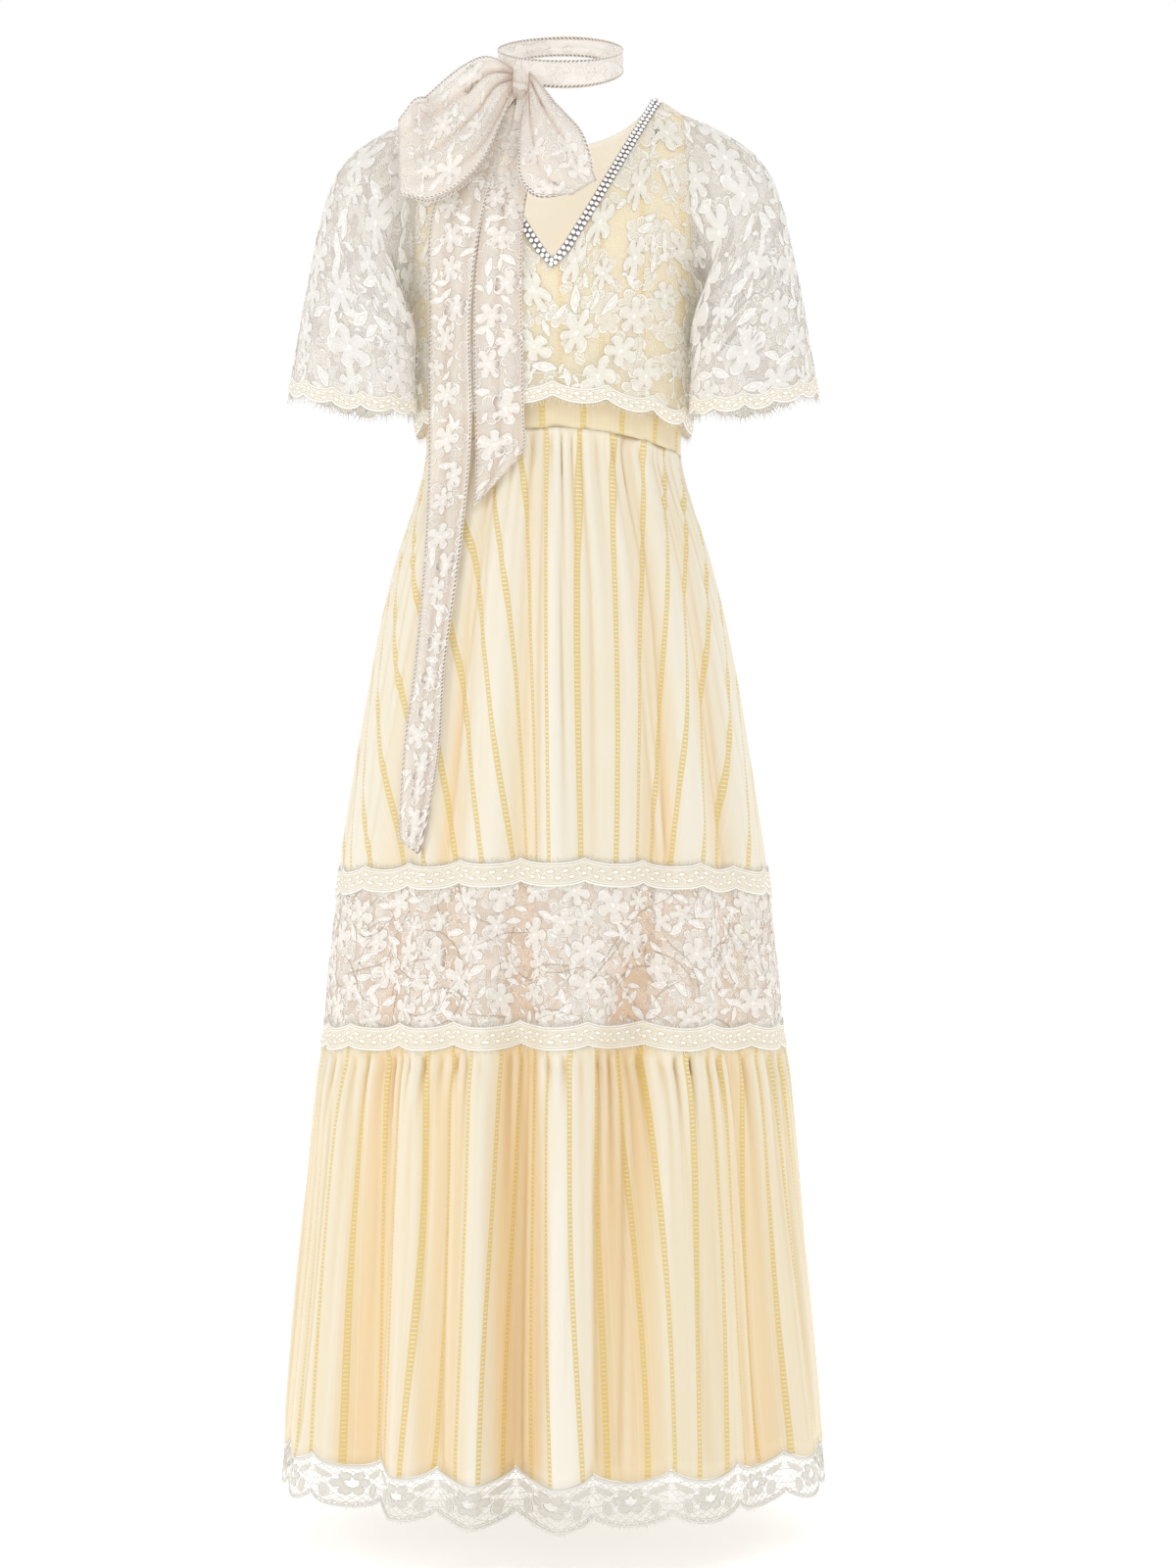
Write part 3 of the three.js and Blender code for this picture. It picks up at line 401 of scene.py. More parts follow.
class Nodes:
    """Short forms for building a shader."""

    def __init__(self, name):
        self.material = bpy.data.materials.new(name)
        self.material.use_nodes = True
        self.tree = self.material.node_tree
        self.shader = self.tree.nodes["Principled BSDF"]

    def node(self, kind, **settings):
        made = self.tree.nodes.new(kind)
        for key, value in settings.items():
            setattr(made, key, value)
        return made

    def link(self, source, target):
        self.tree.links.new(source, target)

    def math(self, operation, first, second=None, third=None):
        made = self.node("ShaderNodeMath", operation=operation)
        for socket, value in zip(made.inputs, (first, second, third)):
            if value is None:
                continue
            if isinstance(value, (int, float)):
                socket.default_value = value
            else:
                self.link(value, socket)
        return made.outputs[0]

    def most(self, *values):
        """The largest of several values."""
        result = values[0]
        for value in values[1:]:
            result = self.math("MAXIMUM", result, value)
        return result

    def times(self, first, second):
        return self.math("MULTIPLY", first, second)

    def plus(self, first, second):
        return self.math("ADD", first, second)

    def minus(self, first, second):
        return self.math("SUBTRACT", first, second)

    def wave(self, value, half):
        """Rises and falls between 0 and half."""
        return self.math("PINGPONG", value, half)

    def ramp(self, value, low, high):
        """0 below low, 1 above high, smooth between."""
        made = self.node("ShaderNodeMapRange", interpolation_type="SMOOTHSTEP")
        self.link(value, made.inputs["Value"])
        made.inputs["From Min"].default_value = low
        made.inputs["From Max"].default_value = high
        return made.outputs["Result"]

    def fade(self, value, low, high):
        """1 below low, 0 above high, smooth between."""
        return self.minus(1, self.ramp(value, low, high))

    def near(self, value, middle, half, soft=0.25):
        """1 within half of the middle, 0 beyond."""
        return self.fade(self.math("ABSOLUTE", self.minus(value, middle)), half - soft, half + soft)

    def oval(self, across, down, place, size, soft=0.15):
        """1 inside an oval at a place, for coordinates in mm."""
        x = self.math("DIVIDE", self.minus(across, place[0]), size[0])
        y = self.math("DIVIDE", self.minus(down, place[1]), size[1])
        return self.fade(self.plus(self.times(x, x), self.times(y, y)), 1 - soft, 1 + soft)

    def mix(self, share, first, second):
        made = self.node("ShaderNodeMix", data_type="RGBA")
        for socket, value in ((made.inputs[0], share), (made.inputs[6], first), (made.inputs[7], second)):
            if isinstance(value, (int, float)):
                socket.default_value = value
            elif isinstance(value, tuple):
                socket.default_value = (*value, 1)
            else:
                self.link(value, socket)
        return made.outputs[2]

    def layers(self, base, *rows):
        """A colour with others laid over it: each row is a mask, its strength and a colour."""
        for mask, strength, colour in rows:
            base = self.mix(self.times(mask, strength), base, colour)
        return base

    def attribute(self, name):
        return self.node("ShaderNodeAttribute", attribute_name=name).outputs["Fac"]

    def place(self):
        return self.node("ShaderNodeTexCoord").outputs["Object"]

    def cloth_axes(self):
        place = self.node("ShaderNodeUVMap", uv_map="cloth")
        split = self.node("ShaderNodeSeparateXYZ")
        self.link(place.outputs[0], split.inputs[0])
        return place.outputs[0], split.outputs[0], split.outputs[1]

    def noise(self, vector, scale, detail=2.0):
        made = self.node("ShaderNodeTexNoise")
        made.inputs["Scale"].default_value = scale
        made.inputs["Detail"].default_value = detail
        self.link(vector, made.inputs["Vector"])
        return made.outputs["Fac"]

    def cells(self, vector, feature, randomness):
        made = self.node("ShaderNodeTexVoronoi", voronoi_dimensions="2D", feature=feature)
        made.inputs["Scale"].default_value = 1.0
        made.inputs["Randomness"].default_value = randomness
        self.link(vector, made.inputs["Vector"])
        return made.outputs

    def vector_math(self, operation, first, second):
        made = self.node("ShaderNodeVectorMath", operation=operation)
        self.link(first, made.inputs[0])
        if isinstance(second, tuple):
            made.inputs[1].default_value = second
        else:
            self.link(second, made.inputs[1])
        return made.outputs[0]

    def stretch(self, vector, x, y):
        return self.vector_math("MULTIPLY", vector, (x, y, 1))

    def bump(self, height, strength, distance):
        made = self.node("ShaderNodeBump")
        made.inputs["Strength"].default_value = strength
        made.inputs["Distance"].default_value = distance
        self.link(height, made.inputs["Height"])
        self.link(made.outputs[0], self.shader.inputs["Normal"])

    def finish(self, colour, inputs, glow=None, emitted=None, alpha=None):
        """Colour and shader inputs. glow is painted light, an emitted glow standing in for light through the
        cloth; alpha is for open places.
        """
        self.link(colour, self.shader.inputs["Base Color"])
        for name, value in inputs.items():
            self.shader.inputs[name].default_value = value
        if glow is not None:
            self.link(colour if emitted is None else emitted, self.shader.inputs["Emission Color"])
            self.shader.inputs["Emission Strength"].default_value = glow
        if alpha is not None:
            self.link(alpha, self.shader.inputs["Alpha"])
        return self.material


SATIN_LIGHT = (0.775, 0.68, 0.475)
# Painted shade colour: a deeper amber laid where the satin is shaded, most in fold hollows
SATIN_PAINTED_SHADE = (0.87, 0.655, 0.39)
# Painted highlight colour for the ridges of folds
SATIN_PAINTED_HIGHLIGHT = (0.87, 0.82, 0.71)
SATIN_GOLDEN = (0.80, 0.70, 0.44)
# Painted shade colour, tan, for fine creases
CREASE_PAINTED_SHADE = (0.69, 0.5, 0.25)
STRIPE_GOLD = (0.74, 0.54, 0.15)
PIN_WHITE = (0.86, 0.83, 0.72)
STRIPE_SPACING = 0.034
STRIPE_HALF = 0.0029
DASH_LENGTH = 0.0042


def satin_material(name, light=SATIN_LIGHT, spacing=STRIPE_SPACING, offset=0.0, glow=0.0):
    """Pale yellow satin with woven golden ladder stripes and faint white pin lines."""
    n = Nodes(name)
    vector, u, v = n.cloth_axes()
    streak = n.noise(n.stretch(vector, 900, 14), 1.0, 3.0)
    shift = n.plus(u, offset)
    away = n.math("ABSOLUTE", n.minus(n.wave(shift, spacing / 2), spacing / 2))
    stripe = n.fade(away, STRIPE_HALF * 0.85, STRIPE_HALF * 1.1)
    rung = n.ramp(n.wave(v, DASH_LENGTH / 2), DASH_LENGTH * 0.1, DASH_LENGTH * 0.24)
    rail = n.ramp(away, STRIPE_HALF * 0.62, STRIPE_HALF * 0.8)
    ladder = n.times(stripe, n.most(rung, rail))
    pin = n.wave(n.plus(shift, spacing / 4), spacing / 4)
    base = n.layers(
        light,
        # painted shade: shaded places, most of all fold hollows, lean to a deeper amber
        (n.attribute("painted_shade"), 0.95, SATIN_PAINTED_SHADE),
        (n.ramp(n.noise(vector, 9.0), 0.35, 0.75), 0.28, SATIN_GOLDEN),
        (n.ramp(streak, 0.4, 0.8), 0.12, PIN_WHITE),
        # painted highlight on the ridges of folds
        (n.attribute("painted_highlight"), 0.75, SATIN_PAINTED_HIGHLIGHT),
        # painted shade in fine creases
        (n.attribute("painted_crease_shade"), 0.75, CREASE_PAINTED_SHADE),
        (n.fade(pin, 0.0002, 0.0007), 0.3, PIN_WHITE),
        (ladder, 0.85, STRIPE_GOLD),
    )
    weave = n.plus(n.times(ladder, 0.8), n.times(streak, 0.5))
    rumple = n.noise(n.stretch(vector, 34, 9), 1.0)
    n.bump(n.math("MULTIPLY_ADD", rumple, 7, weave), 0.6, 0.0004)
    return n.finish(base, {"Roughness": 0.42, "Sheen Weight": 0.15, "Sheen Roughness": 0.4,
                           "Specular IOR Level": 0.3}, glow)


def plain_satin_material(name, glow):
    """Wrong side of the satin: paler, without the woven stripes."""
    n = Nodes(name)
    vector = n.cloth_axes()[0]
    streak = n.noise(n.stretch(vector, 700, 20), 1.0, 3.0)
    base = n.mix(n.ramp(n.noise(vector, 12.0), 0.3, 0.8), (0.85, 0.81, 0.73), (0.86, 0.79, 0.66))
    base = n.layers(base, (streak, 0.2, PIN_WHITE))
    n.bump(streak, 0.25, 0.0003)
    return n.finish(base, {"Roughness": 0.55}, glow)


def flower_mask(n, vector, cell, size, petals, seed, bare):
    """Round flower shapes, one in each cell: their fill, outline and ribs, and how far inside a point is."""
    moved = n.vector_math("ADD", n.stretch(vector, 1 / cell, 1 / cell), (seed, seed * 0.7, 0))
    found = n.cells(moved, "F1", 0.75)
    split = n.node("ShaderNodeSeparateXYZ")
    n.link(n.vector_math("SUBTRACT", moved, found["Position"]), split.inputs[0])
    pick = n.node("ShaderNodeSeparateColor")
    n.link(found["Color"], pick.inputs[0])
    angle = n.plus(n.math("ARCTAN2", split.outputs[1], split.outputs[0]), n.times(pick.outputs[0], 6.28))
    lobe = n.math("ABSOLUTE", n.math("COSINE", n.times(angle, petals / 2)))
    big = n.math("MULTIPLY_ADD", pick.outputs[1], 0.35 * size, 0.8 * size)
    edge = n.times(big, n.math("MULTIPLY_ADD", n.math("POWER", lobe, 0.6), 0.5, 0.5))
    grown = n.math("GREATER_THAN", pick.outputs[2], bare)
    inside = n.math("MULTIPLY_ADD", n.minus(grown, 1), 4, n.minus(edge, found["Distance"]))
    fill = n.ramp(inside, 0.0, 0.035)
    outline = n.fade(n.math("ABSOLUTE", n.minus(inside, 0.025)), 0.015, 0.04)
    ribs = n.math("ABSOLUTE", n.math("COSINE", n.times(angle, petals * 2.5)))
    return fill, outline, ribs, inside


NET_CELL = 0.0022
MOTIF_IVORY = (0.84, 0.80, 0.73)
NET_TINT = (0.80, 0.74, 0.66)
CORD_WHITE = (0.88, 0.85, 0.79)
SHADOW_LINE = (0.58, 0.48, 0.38)
# Colour of painted shade in the lace's shaded places
LACE_PAINTED_SHADE = (0.80, 0.56, 0.36)
STITCH_BROWN = (0.16, 0.09, 0.06)


def lace_material(name, net_alpha=0.1, motif=MOTIF_IVORY, net=NET_TINT, cell=0.034, dense=0.42,
                  bare=0.4, outline=0.25, stitched=False, glow=0.1, deep=LACE_PAINTED_SHADE):
    """Floral lace: corded flowers and leaves on a fine net that lets light through."""
    n = Nodes(name)
    vector, u, v = n.cloth_axes()
    big, big_line, ribs, inside = flower_mask(n, vector, cell, dense, 5, 3.1, bare)
    small, small_line = flower_mask(n, vector, cell * 0.5, dense * 0.9, 2, 7.7, bare)[:2]
    fill = n.most(big, small)
    line = n.most(big_line, small_line)
    net_edges = n.cells(n.stretch(vector, 1 / NET_CELL, 1 / NET_CELL), "DISTANCE_TO_EDGE", 0.15)
    thread = n.fade(net_edges["Distance"], 0.06, 0.14)
    halo = n.times(n.fade(n.math("ABSOLUTE", n.plus(inside, 0.02)), 0.006, 0.018),
                   n.math("GREATER_THAN", inside, -0.5))
    halfway = tuple(0.5 * (a + b) for a, b in zip(net, motif))
    colour = n.mix(fill, n.mix(n.ramp(n.noise(vector, 60.0, 3.0), 0.3, 0.7), net, halfway), motif)
    colour = n.layers(colour, (halo, outline, SHADOW_LINE), (line, 0.8, CORD_WHITE))
    painted_shade = n.attribute("painted_shade")
    body = n.times(fill, n.math("MULTIPLY_ADD", ribs, 0.35, 0.3))
    # Shaded places are also made less see-through, so that the painted shade shows
    covered = n.most(body, n.times(line, 0.95), n.times(thread, 0.55), net_alpha,
                     n.times(halo, outline), n.times(painted_shade, 0.6))
    if stitched:
        edge = n.attribute("edge")
        beside = n.fade(n.math("ABSOLUTE", n.minus(edge, 1.3)), 0.6, 1.0)
        stitch = n.times(beside, n.ramp(n.wave(n.plus(u, v), 0.0021), 0.0006, 0.001))
        colour = n.layers(colour, (stitch, 0.75, STITCH_BROWN))
        covered = n.most(covered, n.fade(edge, 2.2, 3.0))
    # painted shade in the shaded places of the lace
    colour = n.layers(colour, (painted_shade, 0.8, deep))
    n.bump(n.plus(n.times(fill, n.math("MULTIPLY_ADD", ribs, 0.3, 0.35)), line), 0.5, 0.0007)
    return n.finish(colour, {"Roughness": 0.72, "Sheen Weight": 0.2}, glow, alpha=covered)


GALLOON_NET = (0.86, 0.81, 0.69)
GALLOON_CORD = (0.9, 0.885, 0.83)
GALLOON_SHADE = (0.58, 0.44, 0.24)
GALLOON_REPEAT = 13
GALLOON_OVALS = ((0.6, 0.36), (5.9, 0.64))


def galloon_material(name, tall):
    """Edging tape: cords along both edges, a vine of small ovals and a net between."""
    n = Nodes(name)
    u, v = n.cloth_axes()[1:]
    edge = n.attribute("edge")
    along = n.times(u, 1000)
    down = n.times(v, 1000)
    place = n.wave(along, GALLOON_REPEAT / 2)
    middle = n.math("MULTIPLY_ADD", n.math("SINE", n.times(along, 2 * math.pi / GALLOON_REPEAT)),
                    tall * 0.12, tall / 2)
    vine = n.near(n.minus(down, middle), 0.0, 0.55)

    def ovals(size):
        return n.most(*(n.oval(place, down, (x, tall * share), size) for x, share in GALLOON_OVALS))

    filled = ovals((2.1, 1.5))
    ring = n.minus(ovals((2.9, 2.2)), filled)
    bars = n.times(n.near(n.wave(along, 0.9), 0.0, 0.35, 0.15), n.near(edge, 2.1, 1.2))
    raised = n.most(n.near(edge, 0.9, 0.75), n.near(edge, 3.4, 0.4), vine, filled, n.times(bars, 0.7))
    colour = n.mix(raised, GALLOON_NET, GALLOON_CORD)
    # painted shadow in a ring round each oval and in a line between the cords at each edge
    colour = n.layers(colour, (ring, 0.55, GALLOON_SHADE), (n.near(edge, 2.1, 0.35), 0.3, GALLOON_SHADE))
    n.bump(raised, 0.5, 0.0006)
    return n.finish(colour, {"Roughness": 0.65}, 0.13, alpha=n.most(raised, 0.62))


HEM_REPEAT = 50
HEM_FLOWER_DOWN = 18
HEM_BAR_HALF = 3.2


def hem_lace_material():
    """Open scalloped lace: a corded edge, a flower with leaves in each scallop and a clear net."""
    n = Nodes("scalloped_hem_lace")
    vector, u, v = n.cloth_axes()
    edge = n.attribute("edge")
    across = n.wave(n.math("MULTIPLY_ADD", u, 1000, HEM_REPEAT / 2), HEM_REPEAT / 2)
    down = n.times(v, 1000)
    y = n.minus(down, HEM_FLOWER_DOWN)
    radius = n.math("SQRT", n.plus(n.times(across, across), n.times(y, y)))
    lobe = n.math("ABSOLUTE", n.math("COSINE", n.times(n.math("ARCTAN2", y, across), 3)))
    inside = n.minus(n.math("MULTIPLY_ADD", n.math("POWER", lobe, 0.6), 5.5, 6.5), radius)
    petals = n.times(n.ramp(inside, -0.2, 0.4), n.ramp(radius, 3.6, 4.4))
    leaves = n.most(n.oval(across, down, (17, 12), (5.5, 2.6)), n.oval(across, down, (15, 27), (2.6, 6.0)))
    leaf_line = n.minus(n.most(n.oval(across, down, (17, 12), (6.4, 3.5)),
                               n.oval(across, down, (15, 27), (3.5, 6.9))), leaves)
    leans = (n.plus, n.minus)
    bars = n.most(*(n.near(n.wave(lean(across, down), HEM_BAR_HALF), 0.0, 0.42) for lean in leans))
    picots = n.times(n.near(n.wave(n.times(u, 1000), 1.4), 0.0, 0.6), n.near(edge, 2.4, 1.4))
    lines = n.most(n.near(inside, 0.3, 0.5), n.near(radius, 4.4, 0.5), leaf_line,
                   n.near(edge, 0.9, 0.9), n.near(edge, 3.9, 0.6), n.fade(down, 3.2, 3.8))
    fill = n.times(n.most(petals, leaves), 0.6)
    covered = n.most(lines, fill, n.times(bars, 0.75), n.times(picots, 0.8), 0.1)
    colour = n.mix(n.noise(vector, 70.0), (0.75, 0.71, 0.62), (0.81, 0.78, 0.71))
    colour = n.mix(lines, colour, (0.83, 0.81, 0.75))
    n.bump(n.plus(lines, fill), 0.6, 0.0008)
    return n.finish(colour, {"Roughness": 0.7}, alpha=covered)


def thread_material(name, colour):
    """Embroidery thread for the tape under the stones and the fringe."""
    n = Nodes(name)
    fine = n.noise(n.place(), 1400.0)
    tone = n.mix(n.ramp(n.noise(n.place(), 40.0), 0.3, 0.7), colour, tuple(0.9 * value for value in colour))
    n.bump(fine, 0.5, 0.0004)
    colour = n.layers(tone, (fine, 0.3, CORD_WHITE))
    return n.finish(colour, {"Roughness": 0.6, "Sheen Weight": 0.3}, 0.08, tone)


def applique_material(name, fill, outline, outlined, glow):
    """Stitched motifs: petals in fill, cords and veins in white, and a thin darker contour painted as shadow
    round each motif; some stems are dark in the same colour.
    """
    n = Nodes(name)
    fine = n.noise(n.place(), 1500.0)
    mark = n.attribute("thread")
    tone = n.mix(n.ramp(n.noise(n.place(), 55.0), 0.3, 0.7), fill, tuple(0.93 * value for value in fill))
    mesh = n.ramp(n.noise(n.place(), 380.0, 1.0), 0.42, 0.58)
    tone = n.layers(tone, (mesh, 0.2, outline), (fine, 0.3, CORD_WHITE))
    tone = n.mix(n.ramp(mark, 0.1, 0.8), tone, (0.92, 0.9, 0.86))
    # a mark of -1 on a rim gives the darker contour, a painted shadow; dark stems take the same colour
    tone = n.layers(tone, (n.ramp(n.times(mark, -1), 0.3, 0.9), outlined, outline))
    n.bump(fine, 0.5, 0.0004)
    return n.finish(tone, {"Roughness": 0.75}, glow)


def stone_material():
    n = Nodes("clear_stones")
    tone = n.mix(n.noise(n.place(), 500.0), (0.95, 0.95, 0.96), (0.62, 0.6, 0.6))
    # The white emission is a painted glow on the stones
    return n.finish(tone, {"Metallic": 0.2, "Roughness": 0.1, "Emission Color": (1, 1, 1, 1),
                           "Emission Strength": 0.3})


def cup_material():
    n = Nodes("stone_cups")
    tone = n.mix(n.noise(n.place(), 700.0), (0.2, 0.17, 0.15), (0.36, 0.32, 0.29))
    return n.finish(tone, {"Metallic": 0.9, "Roughness": 0.35})


# Every glow below is painted light the cloth gives out. The bodice satin glows more, to lighten it under the
# lace, and the lining's wrong side most, to lighten the shaded inside of the back.
SATIN = satin_material("striped_satin", glow=0.035)
UPPER_SATIN = satin_material("upper_satin", light=(0.82, 0.77, 0.64), glow=0.035)
WRONG_SIDE = plain_satin_material("satin_wrong_side", 0.03)
LINING_SIDE = plain_satin_material("lining_wrong_side", 0.3)
BODICE_SATIN = satin_material("bodice_satin", spacing=0.040, offset=0.012, glow=0.17)
WAIST_SATIN = satin_material("waist_satin", light=(0.78, 0.68, 0.47), spacing=0.040, offset=0.012, glow=0.03)
OVERLAY_LACE = lace_material("overlay_lace", net_alpha=0.12, motif=(0.86, 0.82, 0.73), net=(0.87, 0.81, 0.66),
                             bare=0.3, outline=0.1)
BAND_LACE = lace_material("band_lace", net_alpha=0.4, motif=(0.86, 0.81, 0.74), net=(0.84, 0.72, 0.61),
                          bare=0.15, outline=0.45, cell=0.028, glow=0.11)
# deep is the dark grey of the painted shadow seen through the sleeve by the armhole
SLEEVE_LACE = lace_material("sleeve_lace", net_alpha=0.3, net=(0.82, 0.78, 0.74), bare=0.3, outline=0.35,
                            glow=0.06, deep=(0.42, 0.39, 0.35))
# deep is the painted shade near the knot and in the folds of the bow
SCARF_LACE = lace_material("scarf_lace", net_alpha=0.45, motif=(0.86, 0.80, 0.74), net=(0.89, 0.83, 0.75),
                           bare=0.25, outline=0.4, stitched=True, glow=0.07, deep=(0.62, 0.42, 0.3))
HEM_LACE = hem_lace_material()
TRIM_TALL = 23
EDGING_TALL = 15
GALLOON = galloon_material("galloon_wide", TRIM_TALL)
EDGING = galloon_material("galloon_narrow", EDGING_TALL)
TAPE = thread_material("trim_tape", (0.36, 0.33, 0.3))
APPLIQUE = applique_material("applique_white", (0.82, 0.78, 0.68), (0.58, 0.49, 0.34), 0.8, 0.07)
BAND_APPLIQUE = applique_material("applique_band", (0.85, 0.80, 0.73), (0.5, 0.37, 0.26), 0.9, 0.07)
SCARF_APPLIQUE = applique_material("applique_scarf", (0.85, 0.80, 0.74), (0.58, 0.45, 0.36), 0.8, 0.07)
SLEEVE_APPLIQUE = applique_material("applique_sleeve", (0.82, 0.79, 0.75), (0.58, 0.53, 0.46), 0.7, 0.07)
FRINGE = thread_material("fringe_thread", (0.87, 0.84, 0.76))
STONES = stone_material()
CUPS = cup_material()


# Skirt

random.seed(7)


def random_gathers(count, deep, long):
    """Unevenly spaced gathers all round: angle, half width, depth, length."""
    gathers = []
    for index in range(count):
        angle = -90 + 360 * (index + random.uniform(-0.3, 0.3)) / count
        gathers.append((angle, 360 / count * random.uniform(0.38, 0.66),
                        random.uniform(*deep), random.uniform(*long)))
    return gathers


def gather_out(gathers, angle, below, start, peak):
    out = np.zeros(np.broadcast(angle, below).shape)
    grow = smoothstep(below, start, peak)
    for centre, half, deep, long in gathers:
        away = (angle - centre + 180) % 360 - 180
        near = np.clip(1 - (away / half) ** 2, 0, None) ** 2
        out += deep * near * grow * np.exp(-np.clip(below - peak, 0, None) / long)
    return out


def random_creases(count, deep, drift=0.0):
    """Soft creases: angle, lean, half width, depth and how far down. drift leans those at the left."""
    creases = []
    for index in range(count):
        angle = -90 + 360 * (index + random.uniform(-0.4, 0.4)) / count
        lean = random.uniform(-5, 5) + (drift if -85 < angle < -15 else 0)
        creases.append((angle, lean, random.uniform(1.4, 4.2), random.uniform(*deep) * random.choice((-1, 1)),
                        random.uniform(0.1, 0.95)))
    return creases


def crease_out(creases, angle, share):
    out = np.zeros(np.broadcast(angle, share).shape)
    for centre, lean, half, deep, middle in creases:
        away = (angle - centre - lean * (share - 0.5) + 180) % 360 - 180
        near = np.clip(1 - (away / half) ** 2, 0, None) ** 2
        out += deep * near * np.exp(-((share - middle) / 0.35) ** 2)
    return out


def lap_out(laps, angle, share):
    """Crisp edges where one fold laps over the next. The tables below say what a row holds."""
    out = np.zeros(np.broadcast(angle, share).shape)
    for top, bottom, raised, deep, fade, start in laps:
        away = (angle - top - (bottom - top) * share + 180) % 360 - 180
        away = away * raised
        beyond = np.where(away > 0, np.exp(-np.abs(away) / fade), 0.8 * np.exp(-np.abs(away) / (0.6 * fade)))
        out += deep * np.tanh(away / 0.7) * beyond * smoothstep(share, start, start + 0.25)
    return out


WAIST_GATHERS = random_gathers(76, (-5.2, -1.6), (22, 130))
TIER_GATHERS = random_gathers(92, (-12, -3), (12, 80))
UPPER_LAPS = [  # angle at the top, angle at the bottom, side raised, depth, fade, where it starts
    (0.6, 1.0, 1, 1.6, 2.2, -0.3), (38, 31, -1, 2.2, 3.5, 0.05), (-24, -29, 1, 1.6, 3.0, 0.1),
    (-50, -58, -1, 1.4, 3.0, 0.2), (60, 55, 1, 1.4, 3.0, 0.1), (150, 156, 1, 2.0, 3.5, 0.0),
    (181, 181, -1, 1.6, 2.5, -0.3), (214, 209, 1, 1.8, 3.0, 0.1), (236, 240, -1, 1.4, 3, 0.2),
]
LOWER_LAPS = [
    (-40, -40, 1, 3.6, 4.0, -0.2), (-24.5, -22.5, 1, 3.2, 3.0, -0.1), (-5.4, -5.8, 1, 4.6, 3.5, -0.3),
    (8.6, 8.4, -1, 4.2, 3.5, -0.3), (20, 14.6, 1, 3.6, 5.0, -0.2), (48.5, 49.5, -1, 3.2, 5.0, 0.0),
    (-62, -64, -1, 2.4, 4, 0.0), (62, 66, 1, 1.6, 3.0, 0.1), (32, 31, -1, 1.3, 3.0, 0.3),
    (121, 119, 1, 2.4, 4.0, -0.2), (135, 137, -1, 2.2, 3.5, -0.1), (154, 153, 1, 2.8, 4.0, -0.3),
    (178, 177, -1, 2.6, 3.0, -0.2), (192, 193, 1, 2.6, 4.0, -0.2), (214, 216, -1, 2.0, 3.5, 0.0),
    (234, 233, 1, 2.4, 4.5, -0.1),
]
UPPER_CREASES = random_creases(54, (0.9, 2.6), 9) + [(0.5, 0, 2.4, 3.4, 0.3), (-3.6, 0, 2.2, -2.6, 0.3),
                                                    (0.5, 0, 2.2, 2.6, 0.9), (-3.4, 0, 2.0, -2.0, 0.9)]
LOWER_CREASES = random_creases(48, (1.4, 4.6))
BAND_CREASES = random_creases(44, (0.8, 2.2))


LEVEL_TINT = {"upper": 0.184, "lower": 0.46}
LONG_SHADES = [  # angle at the top, angle at the bottom, reach
    (39.5, 32, 1.8), (-25.5, -30.5, 1.3), (154, 157, 1.8), (212, 208, 1.6),
]
HALF_FROM = 0.02
HALF_TO = 179.98
STRIPE_START = 600
UPPER_GRID = (34, 280)
BAND_GRID = (20, 180)
LOWER_GRID = (36, 325)
HEM_GRID = (17, 352)
TRIM_GRID = (10, 310)
EDGING_ROWS = 8
TRIM_ABOVE = 9
TRIM_BELOW = 8
TRIM_SCALLOP = 6


def scallop(share):
    """Hang of a scallop between its cusps, 0 to 1."""
    return np.abs(np.sin(math.pi * share)) ** 0.6


def half_round(side, columns):
    """Angles of one half of the skirt, just inside the side seams, and the scallops along them."""
    start = -90 if side == "front" else 90
    angle = np.linspace(start + HALF_FROM, start + HALF_TO, columns)[None, :]
    return angle, scallop((angle - start) / 180 * SCALLOPS)


def tier_relief(tier, angle, below, share):
    """How far gathers, creases and laps move a tier's cloth outwards."""
    if tier == "band":
        return crease_out(BAND_CREASES, angle, share) * np.sin(math.pi * share) ** 0.5
    if tier == "upper":
        out = gather_out(WAIST_GATHERS, angle, below, 0, 16) + crease_out(UPPER_CREASES, angle, share)
        out += lap_out(UPPER_LAPS, angle, share)
    elif tier == "lower":
        out = gather_out(TIER_GATHERS, angle, below, 8, 28) + crease_out(LOWER_CREASES, angle, share)
        out += lap_out(LOWER_LAPS, angle, share)
        out = out * smoothstep(below, 6, 26)
    else:
        return 0
    return out * smoothstep(1 - share, 0, 0.06)


def across_places(tier, side, angle, height, below, share, points):
    """Where each point lies across the cloth in mm, so that stripes lean and sway with it."""
    if tier == "hem":
        return np.linspace(0, SCALLOPS * HEM_REPEAT, points.shape[1])[None, :] + 0 * below
    sway = 6 * np.sin(0.11 * angle + 3.2 * share) + 4 * np.sin(0.29 * angle - 2.4 * share + 1)
    if tier == "upper":
        across = centred_lengths(skirt_point(angle, height))
        left = smoothstep(-across, -5, 45)
        right = smoothstep(across, 50, 150)
        lean = 0.17 * left - 0.09 * right if side == "front" else 0.05 * np.sin(across / 90)
        return across - below * lean + 0.5 * sway + STRIPE_START
    across = arc_lengths(points[-1])[None, :]
    return across + sway if tier == "lower" else across


